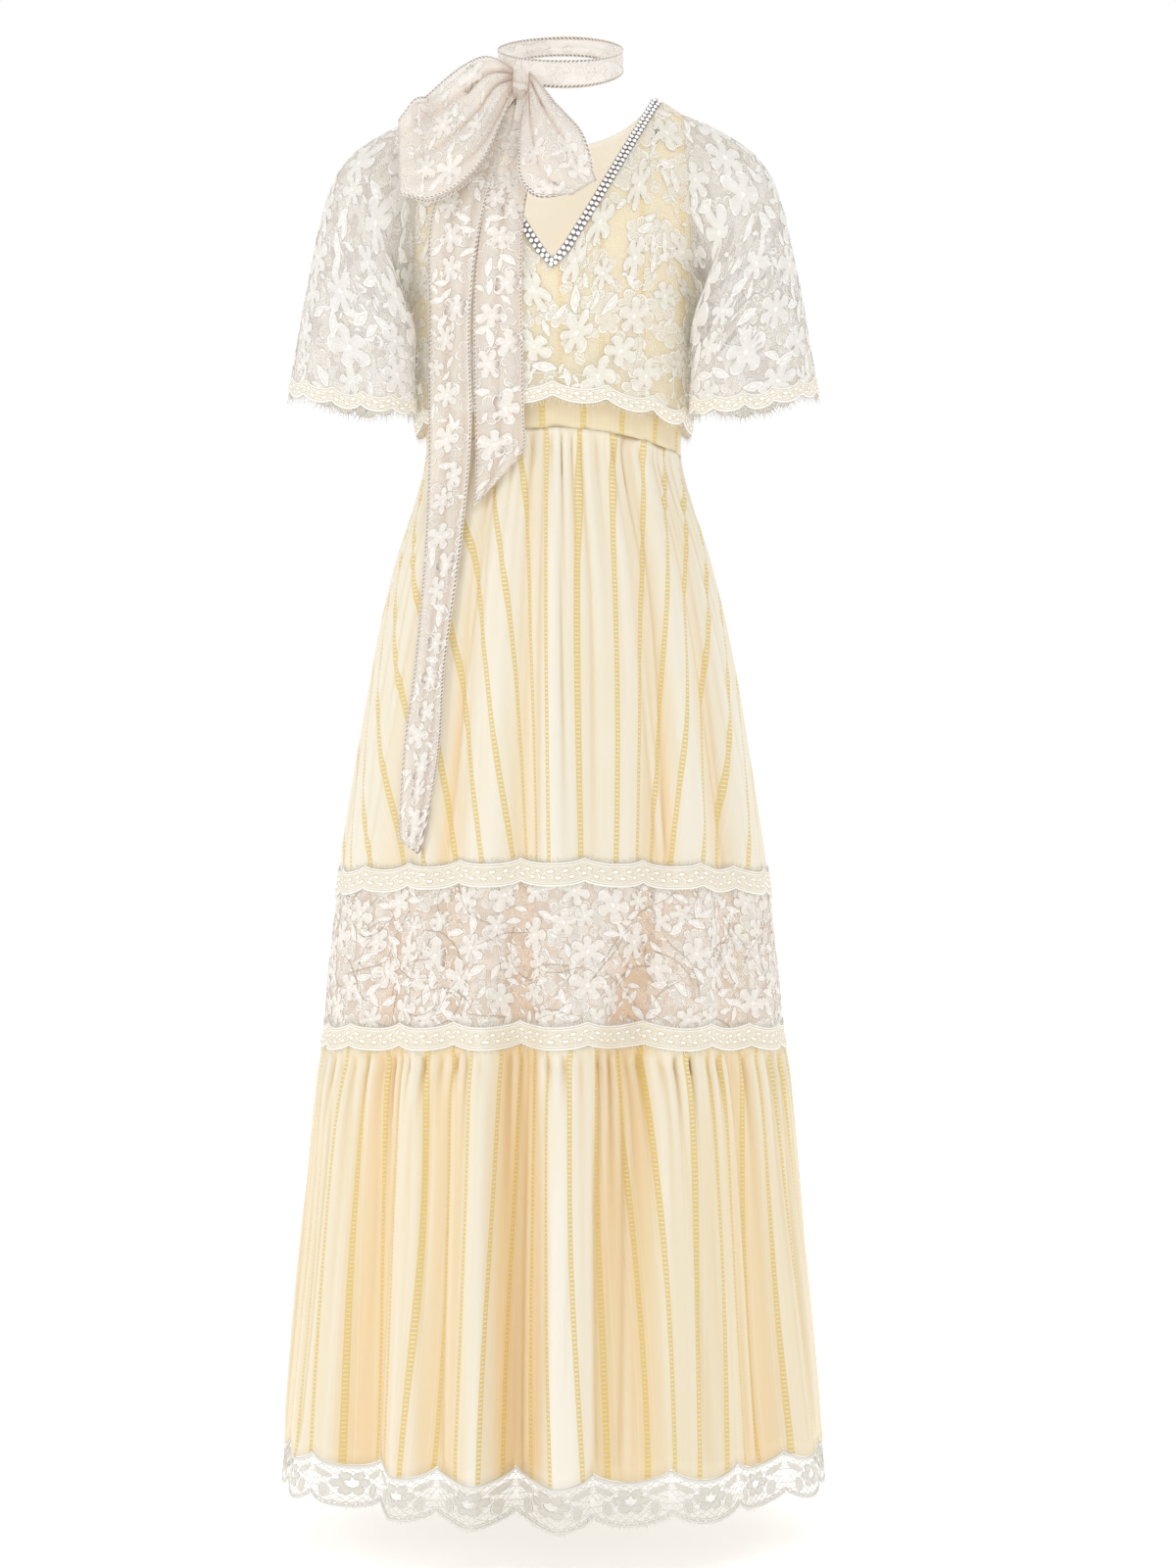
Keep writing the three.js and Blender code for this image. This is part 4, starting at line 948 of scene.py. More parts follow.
def shade_folds(cloth, tier, angle, share, folds, extra):
    """Painted shade in the hollows of folds, painted highlight on their ridges, painted tan shade in fine
    creases.
    """
    columns = cloth.points.shape[1]
    folded = folds + extra
    local = folded - smoothed(folded, columns // 22)
    fine = folded - smoothed(folded, max(columns // 110, 2))
    broad = np.clip(LEVEL_TINT.get(tier, 0) - folds / 30, 0, 1)
    cloth.painted_shade = np.clip(0.75 * broad + np.clip(-local / 14, 0, 0.25), 0, 1)
    cloth.painted_highlight = np.clip(local / 10, 0, 0.4) + np.clip(fine / 2, 0, 0.5)
    cloth.painted_crease_shade = np.clip(-fine / 1.5, 0, 1)
    if tier == "lower":
        # the outstanding folds of the lower tier get more painted highlight
        cloth.painted_highlight = np.clip(cloth.painted_highlight + np.clip((folds - 7) / 7, 0, 1), 0, 1.4)
    elif tier == "upper":
        for top, bottom, reach in LONG_SHADES:
            away = (angle - top - (bottom - top) * share) / reach
            cloth.painted_shade = np.clip(cloth.painted_shade + 0.8 * np.exp(-away ** 2) * smoothstep(share, 0.3, 1), 0, 1)


def skirt_cloth(side, top, bottom, grid, tier):
    """Half of a tier between two levels."""
    rows, columns = grid
    angle, wave = half_round(side, columns)
    share = np.linspace(0, 1, rows)[:, None] ** (1.35 if tier in ("upper", "lower") else 1)
    upper = top(angle, wave)
    lower = bottom(angle, wave)
    height = upper + (lower - upper) * share
    below = upper - height
    extra = tier_relief(tier, angle, below, share)
    points = skirt_point(angle, height, extra)
    cloth = Cloth(points, across_places(tier, side, angle, height, below, share, points), below)
    shade_folds(cloth, tier, angle, share, fold_out(angle, height), extra)
    if tier == "hem":
        cloth.edge = height - lower
    return cloth


def smoothed(values, reach):
    """Mean of each value and its neighbours along the row."""
    padded = np.pad(values, ((0, 0), (reach + 1, reach)), mode="edge")
    total = np.cumsum(padded, axis=1)
    return (total[:, 2 * reach + 1:] - total[:, :-2 * reach - 1]) / (2 * reach + 1)


def centred_lengths(points):
    """Length along each row from the middle column."""
    steps = np.linalg.norm(np.diff(points, axis=1), axis=-1)
    total = np.concatenate([np.zeros((points.shape[0], 1)), np.cumsum(steps, 1)], 1)
    middle = (points.shape[1] - 1) // 2
    return total - total[:, middle:middle + 1]


def edge_strip(cloth, tall, rows):
    """A strip of a cloth along its last row."""
    columns = cloth.points.shape[1]
    points = np.zeros((rows, columns, 3))
    normals = np.zeros((rows, columns, 3))
    wanted = np.linspace(tall, 0, rows)
    for column in range(columns):
        line = cloth.points[::-1, column]
        along = arc_lengths(line)
        for axis in range(3):
            points[:, column, axis] = np.interp(wanted, along, line[:, axis])
            normals[:, column, axis] = np.interp(wanted, along, cloth.normals[::-1, column, axis])
    strip = Cloth(points, arc_lengths(points[-1])[None, :], (tall - wanted)[:, None], cloth.around)
    strip.normals = normals / np.linalg.norm(normals, axis=-1, keepdims=True)
    strip.share = np.broadcast_to(np.linspace(0, 1, rows)[:, None], (rows, columns))
    strip.edge = np.minimum(strip.share, 1 - strip.share) * tall
    return strip


def level(name, shift=0.0, hang=0.0):
    """A seam's height by angle and scallop, moved up by shift and hanging by hang."""
    return lambda angle, wave: level_at(name, angle) + shift - hang * wave


def trim_cloth(side, name, grid):
    """Scalloped edging over a seam of the skirt."""
    rows, columns = grid
    angle, wave = half_round(side, columns)
    seam = level_at(name, angle)
    top = seam + TRIM_ABOVE + TRIM_SCALLOP * (1 - wave)
    bottom = seam - TRIM_BELOW - TRIM_SCALLOP * wave
    share = np.linspace(0, 1, rows)[:, None]
    height = top + (bottom - top) * share
    points = skirt_point(angle, height)
    cloth = Cloth(points, arc_lengths(points[-1])[None, :], top - height)
    cloth.share = np.broadcast_to(share, points.shape[:2])
    cloth.edge = np.minimum(share, 1 - share) * TRIM_TALL + 0 * points[..., 0]
    return cloth


def galloon_relief(cloth):
    """Cords along both edges and a twisted line of loops between them."""
    share = cloth.share
    edges = np.exp(-((share - 0.1) / 0.06) ** 2) + np.exp(-((share - 0.9) / 0.06) ** 2)
    middle = 0.5 + 0.16 * np.sin(cloth.u / 14 * 2 * math.pi)
    vine = np.exp(-((share - middle) / 0.07) ** 2)
    beads = 0.5 + 0.5 * np.cos(cloth.u / 3.2 * 2 * math.pi)
    return 0.9 * edges * (0.75 + 0.25 * beads) + 0.7 * vine


HEM_HOLES = [  # place along the scallop and down the lace, half width and half height as shares
    (0.5, 0.42, 0.075, 0.08),
    (0.0, 0.6, 0.048, 0.09),
    (1.0, 0.6, 0.048, 0.09),
]


def hem_keep(rows, columns):
    """Which faces of the hem lace stay: the open places of each scallop are left out."""
    across = ((np.arange(columns - 1) + 0.5) / (columns - 1) * SCALLOPS % 1)[None, :]
    down = ((np.arange(rows - 1) + 0.5) / (rows - 1))[:, None]
    keep = np.ones((rows - 1, columns - 1), bool)
    for place, depth, wide, tall in HEM_HOLES:
        keep &= ((across - place) / wide) ** 2 + ((down - depth) / tall) ** 2 > 1
    keep[0] = True
    keep[-1] = True
    return keep


FRINGE_HALF = 0.5


def fringe(name, cloth, row, length, spacing, lift, direction=1.0):
    """Fine eyelash threads along one row of a cloth, pointing down or up."""
    random.seed(len(name))
    rows, columns = cloth.points.shape[:2]
    along = arc_lengths(cloth.points[row])
    count = int(along[-1] / spacing)
    verts = []
    faces = []
    for index in range(count):
        column = np.interp((index + random.uniform(0.2, 0.8)) * spacing, along, np.arange(columns))
        point, normal = cloth.sample(np.array([float(row)]), np.array([column]))
        beyond, _ = cloth.sample(np.array([float(row)]), np.array([min(column + 1, columns - 1.01)]))
        across = beyond[0] - point[0]
        across = across / max(np.linalg.norm(across), 1e-6)
        down = np.cross(normal[0], across)
        down = down / max(np.linalg.norm(down), 1e-6)
        if down[2] > 0:
            down = -down
        down = down * direction
        root = point[0] + normal[0] * lift
        tip = root + (down + across * random.uniform(-0.3, 0.3)) * length * random.uniform(0.5, 1.1)
        tip = tip + normal[0] * random.uniform(-0.2, 0.8)
        base = len(verts)
        half = across * FRINGE_HALF
        root = root - down * 0.8
        verts += [tuple((root - half) * MM), tuple((root + half) * MM),
                  tuple((root + normal[0] * 0.35) * MM), tuple(tip * MM)]
        faces += [(base, base + 1, base + 3), (base + 1, base + 2, base + 3),
                  (base + 2, base, base + 3), (base, base + 2, base + 1)]
    finish_piece(make_object(name, verts, faces, FRINGE))


EYELASH_PITCH = 2.2
THREAD_PITCH = 2.1
TRIMS = [  # piece, seam, what it lies on
    ("upper_trim", "lace_top", "upper_tier"),
    ("lower_trim", "lace_bottom", "lower_tier"),
]


def add_skirt():
    """Both halves of the tiers, hem lace and edgings."""
    for side in ("front", "back"):
        upper = skirt_cloth(side, level("waist", -0.3), level("lace_top"), UPPER_GRID, "upper")
        band = skirt_cloth(side, level("lace_top", -0.3), level("lace_bottom"), BAND_GRID, "band")
        lower = skirt_cloth(side, level("lace_bottom", -0.3), level("hem_join", 0, HEM_SCALLOP),
                            LOWER_GRID, "lower")
        hem = skirt_cloth(side, level("hem_join", -0.5, HEM_SCALLOP), level("hem", 0, HEM_SCALLOP),
                          HEM_GRID, "hem")
        satin = {"lift": SATIN_WALL - CLOTH, "inside": WRONG_SIDE}
        piece = add_cloth(f"upper_tier_{side}", upper, CLOTH, UPPER_SATIN, **satin)
        finish_piece(piece, [f"upper_skirt_{side}"], (upper.wide(), 0.45),
                     area=0.84 * 0.45 * upper.wide())
        piece = add_cloth(f"lace_tier_{side}", band, CLOTH, BAND_LACE, lift=LACE_WALL - CLOTH)
        finish_piece(piece, [f"lace_band_{side}"], (band.wide(), 0.16))
        piece = add_cloth(f"lower_tier_{side}", lower, CLOTH, SATIN, **satin)
        finish_piece(piece, [f"lower_skirt_{side}"], (lower.wide(), 0.41))
        piece = add_cloth(f"hem_edging_{side}", hem, CLOTH, HEM_LACE, lift=LACE_WALL - CLOTH,
                          keep=hem_keep(*HEM_GRID))
        finish_piece(piece, [f"hem_lace_{side}"], (hem.wide(), 0.042))
        add_motifs(f"lace_tier_flowers_{side}", band, 70, (11, 18), LACE_WALL, 5, vines=1.5,
                   material=BAND_APPLIQUE, dark=0.6)
        fringe(f"hem_fringe_{side}", hem, HEM_GRID[0] - 1, 3.5, EYELASH_PITCH, LACE_WALL - 0.4)
        for name, seam, under in TRIMS:
            trim = trim_cloth(side, seam, TRIM_GRID)
            piece = add_cloth(f"{name}_edging_{side}", trim, CLOTH, GALLOON, lift=TRIM_LIFT,
                              relief=galloon_relief(trim))
            finish_piece(piece, [f"{name}_{side}"], (trim.wide(), 0.023))
            lift = TRIM_LIFT + 0.4
            fringe(f"{name}_fringe_low_{side}", trim, TRIM_GRID[0] - 1, 5, EYELASH_PITCH, lift)
            fringe(f"{name}_fringe_high_{side}", trim, 0, 6, EYELASH_PITCH, lift, -1.0)


def add_edging(name, cloth):
    """Scalloped tape along the free hem of a lace cloth."""
    strip = edge_strip(cloth, EDGING_TALL, EDGING_ROWS)
    piece = add_cloth(name, strip, CLOTH, EDGING, lift=LACE_WALL + 0.4, relief=galloon_relief(strip))
    finish_piece(piece, (), (strip.wide(), EDGING_TALL * MM))


# Raised lace motifs

UNDERSIDE = -0.2
FLOWER_RINGS = [  # radius as a share, relief in mm
    (0.05, 1.3), (0.15, 0.5), (0.27, 0.35), (0.55, 0.4),
    (0.88, 0.42), (0.95, 1.0), (1.0, 0.0), (0.05, UNDERSIDE),
]
LEAF_RINGS = [(0.05, 0.9), (0.5, 0.35), (0.88, 0.9), (1.0, 0.0), (0.05, UNDERSIDE)]
LEAF_AROUND = 12


def flower_template(petals, pointed, turned):
    """Stitched petals with corded edges and middle veins: x, y in radii and relief in mm."""
    around = petals * 6
    verts = []
    for share, high in FLOWER_RINGS:
        for step in range(around):
            turn = 2 * math.pi * step / around
            lobe = abs(math.cos(petals * turn / 2))
            edge = 0.46 + 0.54 * lobe ** pointed
            edge *= 1 + turned * math.sin(turn * 2 + 1)
            radius = share * (edge if share > 0.2 else 1)
            vein = 0.2 * lobe ** 10 if 0.2 < share < 0.9 and high > 0 else 0
            stitch = 0.14 * math.cos(math.pi * step) if 0.3 < share < 0.9 and high > 0 else 0
            # -1 marks the rim, where the material paints a shadow contour
            cord = -1.0 if share == 1.0 else float(high > 0.8) + (0.35 if vein > 0.08 else 0)
            verts.append((radius * math.cos(turn), radius * math.sin(turn), high + vein + stitch, cord))
    return verts, tube_faces(np.arange(len(verts)).reshape(-1, around))


def leaf_template():
    """A pointed leaf with a raised edge and middle rib."""
    verts = []
    for share, high in LEAF_RINGS:
        for step in range(LEAF_AROUND):
            turn = 2 * math.pi * step / LEAF_AROUND
            x = math.cos(turn)
            y = math.sin(turn) * (1 - 0.6 * abs(x) ** 1.5) * 0.4 + 0.12 * x * x
            # -1 marks the rim, where the material paints a shadow contour
            verts.append((x * share, y * share, high, -1.0 if share == 1.0 else float(high > 0.8)))
    return verts, tube_faces(np.arange(len(verts)).reshape(-1, LEAF_AROUND))


MOTIFS = {
    "flower": [flower_template(5, 0.5, 0.08), flower_template(6, 0.6, 0.12), flower_template(5, 0.42, 0.16)],
    "leaf": [leaf_template()],
}
LEAST_FLAT = 0.86
LEAVES_EACH = 1.7
LEAF_SIZE = 0.62
TRIES = 70


def free_place(cloth, size, reach, placed, inside):
    """A chance place where a motif lies flat and clear of the others: row, column and point, or None."""
    rows, columns = cloth.points.shape[:2]
    for _ in range(TRIES):
        row = random.uniform(0, rows - 1)
        column = random.uniform(0, columns - 1)
        if inside and not inside(row / (rows - 1), column / (columns - 1)):
            continue
        down, across = cloth.steps(row, column)
        fits = size / down < row < rows - 1 - size / down
        fits = fits and (cloth.around or size / across < column < columns - 1 - size / across)
        if not fits:
            continue
        point, normal = cloth.sample(np.array([row]), np.array([column]))
        if not all(np.linalg.norm(point[0] - other) > (reach + far) * 0.9 for other, far in placed):
            continue
        near_rows = row + np.array([-0.8, 0.8, 0, 0]) * size / down
        near_columns = column + np.array([0, 0, -0.8, 0.8]) * size / across
        around = cloth.sample(near_rows, near_columns)[1]
        if (around @ normal[0]).min() > LEAST_FLAT:
            return row, column, point[0]
    return None


def add_motifs(name, cloth, count, sizes, lift, seed, inside=None, vines=0.5,
               material=APPLIQUE, dark=0.0):
    """Stitched flowers, leaves and stems lying on a cloth."""
    random.seed(seed)
    placed = []
    store = ([], [], [])
    wanted = [("flower", random.uniform(*sizes)) for _ in range(count)]
    wanted.sort(key=lambda motif: -motif[1])
    wanted += [("leaf", random.uniform(*sizes) * LEAF_SIZE) for _ in range(int(count * LEAVES_EACH))]
    for kind, size in wanted:
        reach = size if kind == "flower" else size * 0.5
        found = free_place(cloth, size, reach, placed, inside)
        if found:
            row, column, point = found
            placed.append((point, reach))
            add_motif(store, kind, cloth, row, column, size, lift, random.uniform(0, 2 * math.pi))
    for _ in range(int(count * vines)):
        near = random.choice(placed)[0]
        mark = -1.0 if random.random() < dark else 1.0
        add_vine(store, cloth, near, sizes[0], lift, inside, mark)
    obj = make_object(name, store[0], store[1], material)
    held = obj.data.attributes.new("thread", "FLOAT", "POINT")
    held.data.foreach_set("value", store[2])
    finish_piece(obj)


def add_motif(store, kind, cloth, row, column, size, lift, turn):
    """One motif at a grid place, bent to follow the cloth."""
    verts, faces, marks = store
    template, template_faces = random.choice(MOTIFS[kind])
    down, across = cloth.steps(row, column)
    shape = np.array(template)
    x = (shape[:, 0] * math.cos(turn) - shape[:, 1] * math.sin(turn)) * size
    y = (shape[:, 0] * math.sin(turn) + shape[:, 1] * math.cos(turn)) * size
    point, normal = cloth.sample(row + y / down, column + x / across)
    tall = lift + shape[:, 2] * (0.5 + size / 60)
    placed = (point + normal * tall[:, None]) * MM
    base = len(verts)
    verts.extend(placed.tolist())
    marks.extend(shape[:, 3].tolist())
    faces.extend(tuple(base + corner for corner in face) for face in template_faces)


VINE_STEP = 3.5
VINE_HALF = 0.55
VINE_TALL = 0.75
VINE_MARGIN = 4


def add_vine(store, cloth, near, leaf, lift, inside, mark):
    """A corded stem wandering from near a point of the cloth, with small leaves on it."""
    verts, faces, marks = store
    rows, columns = cloth.points.shape[:2]
    far = np.linalg.norm(cloth.points - near, axis=-1)
    row, column = (float(value) for value in np.unravel_index(np.argmin(far), far.shape))
    heading = random.uniform(0, 2 * math.pi)
    curl = random.uniform(-0.12, 0.12)
    path = []
    for step in range(random.randint(10, 22)):
        down, across = cloth.steps(row, column)
        row += math.sin(heading) * VINE_STEP / down
        column += math.cos(heading) * VINE_STEP / across
        heading += curl + random.uniform(-0.16, 0.16)
        if not VINE_MARGIN / down < row < rows - 1 - VINE_MARGIN / down:
            break
        if not cloth.around and not VINE_MARGIN / across < column < columns - 1 - VINE_MARGIN / across:
            break
        if inside and not inside(row / (rows - 1), column / (columns - 1)):
            break
        path.append((row, column, heading, down, across))
        if step % 4 == 3 and min(row * down, (rows - 1 - row) * down) > leaf:
            side = random.choice((-1, 1)) * random.uniform(0.6, 1.0)
            size = leaf * random.uniform(0.3, 0.45)
            leaf_row = row + math.sin(heading + side) * size / down
            leaf_column = column + math.cos(heading + side) * size / across
            if cloth.around or size / across < leaf_column < columns - 1 - size / across:
                add_motif(store, "leaf", cloth, leaf_row, leaf_column, size, lift, heading + side)
    if len(path) < 4:
        return
    row, column, heading, down, across = np.array(path).T
    base = len(verts)
    for side, tall in ((-VINE_HALF, 0.0), (0.0, VINE_TALL), (VINE_HALF, 0.0)):
        beside_row = row + np.cos(heading) * side / down
        beside_column = column - np.sin(heading) * side / across
        point, normal = cloth.sample(beside_row, beside_column)
        verts.extend(((point + normal * (lift + tall)) * MM).tolist())
        # -0.4 on the stem's sides gives a faint painted shadow edge
        marks.extend([mark if tall else -0.4] * len(path))
    faces.extend(tube_faces(base + np.arange(3 * len(path)).reshape(3, -1).T))


# Bodice and overlay

LINING_GRID = (34, 60)
OVERLAY_GRID = (46, 122)
WAIST_GRID = (8, 60)


def armhole_out(height):
    """How far from the middle the armhole's edge is at a height."""
    top = shoulder_height(SHOULDER_TIP)
    up = np.clip((height - UNDERARM) / (top - UNDERARM), 0, 1)
    under = float(ring_at(UNDERARM)[0])
    return under + (SHOULDER_TIP - under) * up


def edge_angle(height):
    """Angle of the armhole's edge, or of the side seam below it."""
    share = np.clip(armhole_out(height) / ring_at(height)[0], 0, 1)
    return np.where(height <= UNDERARM, 90.0, np.degrees(np.arcsin(share)))


def neckline_height(side, x):
    share = np.abs(x) / NECK_HALF
    if side == "front":
        inner = V_TIP + (NECK_HEIGHT - V_TIP) * np.clip(share, 0, 1) ** (1 / V_BOW)
    else:
        inner = BACK_NECK + (NECK_HEIGHT - BACK_NECK) * np.clip(share, 0, 1) ** 2.6
    return np.where(share >= 1, shoulder_height(x), inner)


def column_top(side, share):
    """Height where each column of the bodice meets the neckline or shoulder, by halving."""
    low = np.full_like(share, V_TIP - 1.0)
    high = np.full_like(share, NECK_HEIGHT + 1.0)
    for _ in range(40):
        middle = (low + high) / 2
        x = ring_at(middle)[0] * np.sin(np.radians(share * edge_angle(middle)))
        over = neckline_height(side, x) > middle
        low = np.where(over, middle, low)
        high = np.where(over, high, middle)
    return low


def torso_cloth(side, bottom, grid, out=None):
    """Half of the bodice from a lower edge up to the neckline, moved out by out."""
    rows, columns = grid
    share = np.linspace(-1, 1, columns)[None, :]
    base = 90 * share if side == "front" else 180 - 90 * share
    lower = bottom(base, share)
    upper = column_top(side, share)
    rise = 1 - (1 - np.linspace(1, 0, rows)[:, None]) ** 1.15
    height = lower + (upper - lower) * rise
    turned = share * edge_angle(height)
    angle = turned if side == "front" else 180 - turned
    points = body_point(angle, height)
    if side == "back":
        points = points[:, ::-1]
        height = height[:, ::-1]
    cloth = Cloth(points, points[..., 0], -height)
    if out is not None:
        cloth.points = cloth.points + cloth.normals * out(height)[..., None]
        cloth.normals = grid_normals(cloth.points)
    return cloth


def overlay_out(height):
    hang = 1 - smoothstep(height, LEVELS["overlay_hem"][0], UNDERARM)
    return OVERLAY_GAP + OVERLAY_STAND_OFF * hang


def overlay_hem(base, share):
    wave = scallop((share + 1) / 2 * OVERLAY_SCALLOPS)
    return level_at("overlay_hem", base) - OVERLAY_SCALLOP * wave


def waist_cloth(side):
    """Half of the plain waistband."""
    rows, columns = WAIST_GRID
    angle = np.linspace(-90, 90, columns)[None, :] + (0 if side == "front" else 180)
    share = np.linspace(0, 1, rows)[:, None]
    top = level_at("band_top", angle) - 0.3
    height = top + (level_at("waist", angle) - top) * share
    points = body_point(angle, height)
    cloth = Cloth(points, arc_lengths(points[-1])[None, :], top - height)
    # Painted shadow of the overlay: darkest at the top of the band, fainter downwards
    cloth.painted_shade = 0.45 - 0.3 * share + 0 * points[..., 0]
    return cloth


def add_torso():
    """Lining, overlay and waistband, front and back."""
    for side in ("front", "back"):
        lining = torso_cloth(side, lambda base, share: level_at("band_top", base), LINING_GRID)
        piece = add_cloth(f"bodice_lining_{side}", lining, CLOTH, BODICE_SATIN, lift=SATIN_WALL - CLOTH,
                          inside=LINING_SIDE)
        finish_piece(piece, [f"bodice_{side}"], (0.42, 0.33), area=0.095)
        overlay = torso_cloth(side, overlay_hem, OVERLAY_GRID, out=overlay_out)
        piece = add_cloth(f"lace_overlay_{side}", overlay, CLOTH, OVERLAY_LACE, lift=LACE_WALL - CLOTH)
        finish_piece(piece, [f"overlay_{side}"], (0.44, 0.35), area=0.105)
        add_motifs(f"overlay_flowers_{side}", overlay, 34, (13, 23), LACE_WALL, 11, vines=1.4)
        fringe(f"overlay_fringe_{side}", overlay, OVERLAY_GRID[0] - 1, 8, THREAD_PITCH, LACE_WALL)
        add_edging(f"overlay_edging_{side}", overlay)
        band = waist_cloth(side)
        piece = add_cloth(f"waist_panel_{side}", band, CLOTH, WAIST_SATIN, lift=SATIN_WALL - CLOTH)
        finish_piece(piece, [f"waistband_{side}"], (band.wide(), 0.042))


# Sleeves

SLEEVE_GRID = (40, 165)
SLEEVE_LENGTH = 330


def armhole_point(turn):
    """The sleeve's seam, round the armhole from the shoulder."""
    row = SLEEVE_ROWS[0]
    height = row[4] + (row[2] - row[4]) * (1 + np.cos(turn)) / 2
    edge = edge_angle(height)
    angle = np.where(np.sin(turn) > 0, edge, 180 - edge)
    point = body_point(angle, np.maximum(height, UNDERARM))
    under = ((1 - np.cos(turn)) / 2) ** 4
    x = armhole_out(height) + ARMHOLE_GAP + (UNDERARM_GAP - ARMHOLE_GAP) * under
    return np.stack([x, point[..., 1], height], -1)


def sleeve_point(turn, along):
    """The sleeve's surface, round it and from the armhole to the cuff."""
    turn, along = np.broadcast_arrays(turn, along)
    keys = [row[0] for row in SLEEVE_ROWS]
    value = [table_value(keys, [row[column] for row in SLEEVE_ROWS], along) for column in range(1, 7)]
    outer_x, outer_z, inner_x, inner_z, front, back = value
    share = (1 + np.cos(turn)) / 2
    sideways = np.sin(turn)
    bulge = np.sign(sideways) * np.abs(sideways) ** 0.85
    wave = SLEEVE_WAVE_OUT * along ** 2 * np.cos(SLEEVE_WAVES * turn)
    x = inner_x + (outer_x - inner_x) * share
    y = -bulge * np.where(sideways > 0, front, back) * (1 + wave / front)
    z = inner_z + (outer_z - inner_z) * share - SLEEVE_FRONT_DROP * along * sideways ** 2
    point = np.stack([x, y, z], -1)
    blend = smoothstep(along, 0, 0.3)[..., None]
    return armhole_point(turn) * (1 - blend) + point * blend


def draped_sleeve(turn, along):
    """The sleeve with its front inner corner over the bodice, a raised back hem and a scalloped cuff."""
    points = sleeve_point(turn, along)
    overlap = np.clip(np.sin(turn), 0, 1) * ((1 - np.cos(turn)) / 2)
    points[..., 0] -= SLEEVE_OVERLAP * smoothstep(along, 0.12, 0.6) * overlap
    wave = scallop(turn / (2 * math.pi) * SLEEVE_SCALLOPS)
    points[..., 2] -= SLEEVE_SCALLOP * wave * smoothstep(along, 0.8, 1)
    points[..., 2] += SLEEVE_BACK_RISE * smoothstep(-np.sin(turn), 0, 0.6) * smoothstep(along, 0.5, 1)
    return points


def add_sleeves():
    rows, columns = SLEEVE_GRID
    turn = np.linspace(0, 2 * math.pi, columns)[None, :]
    along = np.linspace(0, 1, rows)[:, None]
    points = draped_sleeve(turn, along)
    girth = arc_lengths(points[-1])[-1]
    across = np.linspace(0, girth, columns)[None, :]
    for side, mirror in (("right", 1), ("left", -1)):
        shown = points * np.array([mirror, 1, 1])
        if mirror < 0:
            shown = shown[:, ::-1]
        cloth = Cloth(shown, across, along * SLEEVE_LENGTH, around=True)
        cloth.face(-1, columns // 4, shown[-1, columns // 4] - shown[-1].mean(0))
        # Painted shadow in dark grey, seen through the lace near the armhole
        armhole_shade = smoothstep(along, 0.04, 0.2) * (1 - smoothstep(along, 0.45, 0.8))
        armhole_shade = armhole_shade * np.exp(-((turn - 0.72 * math.pi) / 0.42) ** 2)
        cloth.painted_shade = 0.9 * (armhole_shade if mirror > 0 else armhole_shade[:, ::-1])
        piece = add_cloth(f"lace_sleeve_{side}", cloth, CLOTH, SLEEVE_LACE, lift=LACE_WALL - CLOTH)
        finish_piece(piece, [f"sleeve_{side}"], (girth * MM, 0.34), area=0.112)
        add_motifs(f"sleeve_flowers_{side}", cloth, 52, (14, 25), LACE_WALL, 21 + mirror, vines=1.3,
                   material=SLEEVE_APPLIQUE)
        fringe(f"sleeve_fringe_{side}", cloth, rows - 1, 9, THREAD_PITCH, LACE_WALL - 0.4)
        add_edging(f"sleeve_edging_{side}", cloth)


# Scarf

NECK_RING = {"x": 7, "y": -16, "radius_x": 62, "radius_y": 60, "middle": 40, "rise": 28,
             "start": -38, "end": 322}
NECK_BAND = {"front": 27, "back": 20}
KNOT = {"x": -32, "y": -74, "z": 3, "radius_x": 13, "radius_y": 12, "radius_z": 15}
OUT_OF_FRONT = (0, -1, 0)
KNOT_GRID = (36, 55)
RING_GRID = (11, 120)
LOOP_ROWS = 71
LOOP_LEAD = 6
TAIL_BEHIND = 5
RELIEF_CLEAR = 3.2
LEFT_LOOP = [  # top x, top z, bottom x, bottom z, off the dress, puff
    (-40, 18, -40, -8, 3, 4),
    (-66, 26, -50, -38, 13, 16),
    (-90, 17, -68, -84, 14, 26),
    (-113, 2, -94, -110, 14, 27),
    (-134, -13, -121, -118, 13, 20),
    (-149, -36, -149, -110, 13, 5),
]
RIGHT_LOOP = [
    (-23, 14, -25, -8, 3, 4),
    (-3, -12, -32, -40, 13, 14),
    (14, -34, -33, -76, 14, 22),
    (29, -54, -31, -106, 14, 22),
    (38, -80, -14, -121, 13, 16),
    (40, -102, 16, -118, 13, 5),
]
LONG_TAIL = [  # left, right, left z, right z
    (-42, -34, 2, 0),
    (-86, -44, -50, -56),
    (-120, -68, -130, -132),
    (-123, -81, -230, -230),
    (-124, -80, -330, -330),
    (-125, -84, -400, -398),
    (-128, -92, -480, -478),
    (-136, -105, -580, -578),
    (-146, -109, -660, -650),
    (-150, -117, -740, -708),
    (-146, -128, -752, -766),
]
SHORT_TAIL = [
    (-33, -27, -2, -2),
    (-60, -14, -50, -50),
    (-70, -27, -132, -132),
    (-77, -30, -200, -200),
    (-78, -29, -270, -270),
    (-77, -28, -335, -335),
    (-76, -29, -378, -366),
    (-78, -58, -421, -400),
]


def angle_at(x, height, out):
    return np.degrees(np.arcsin(np.clip(x / (ring_at(height)[0] + out), -0.97, 0.97)))


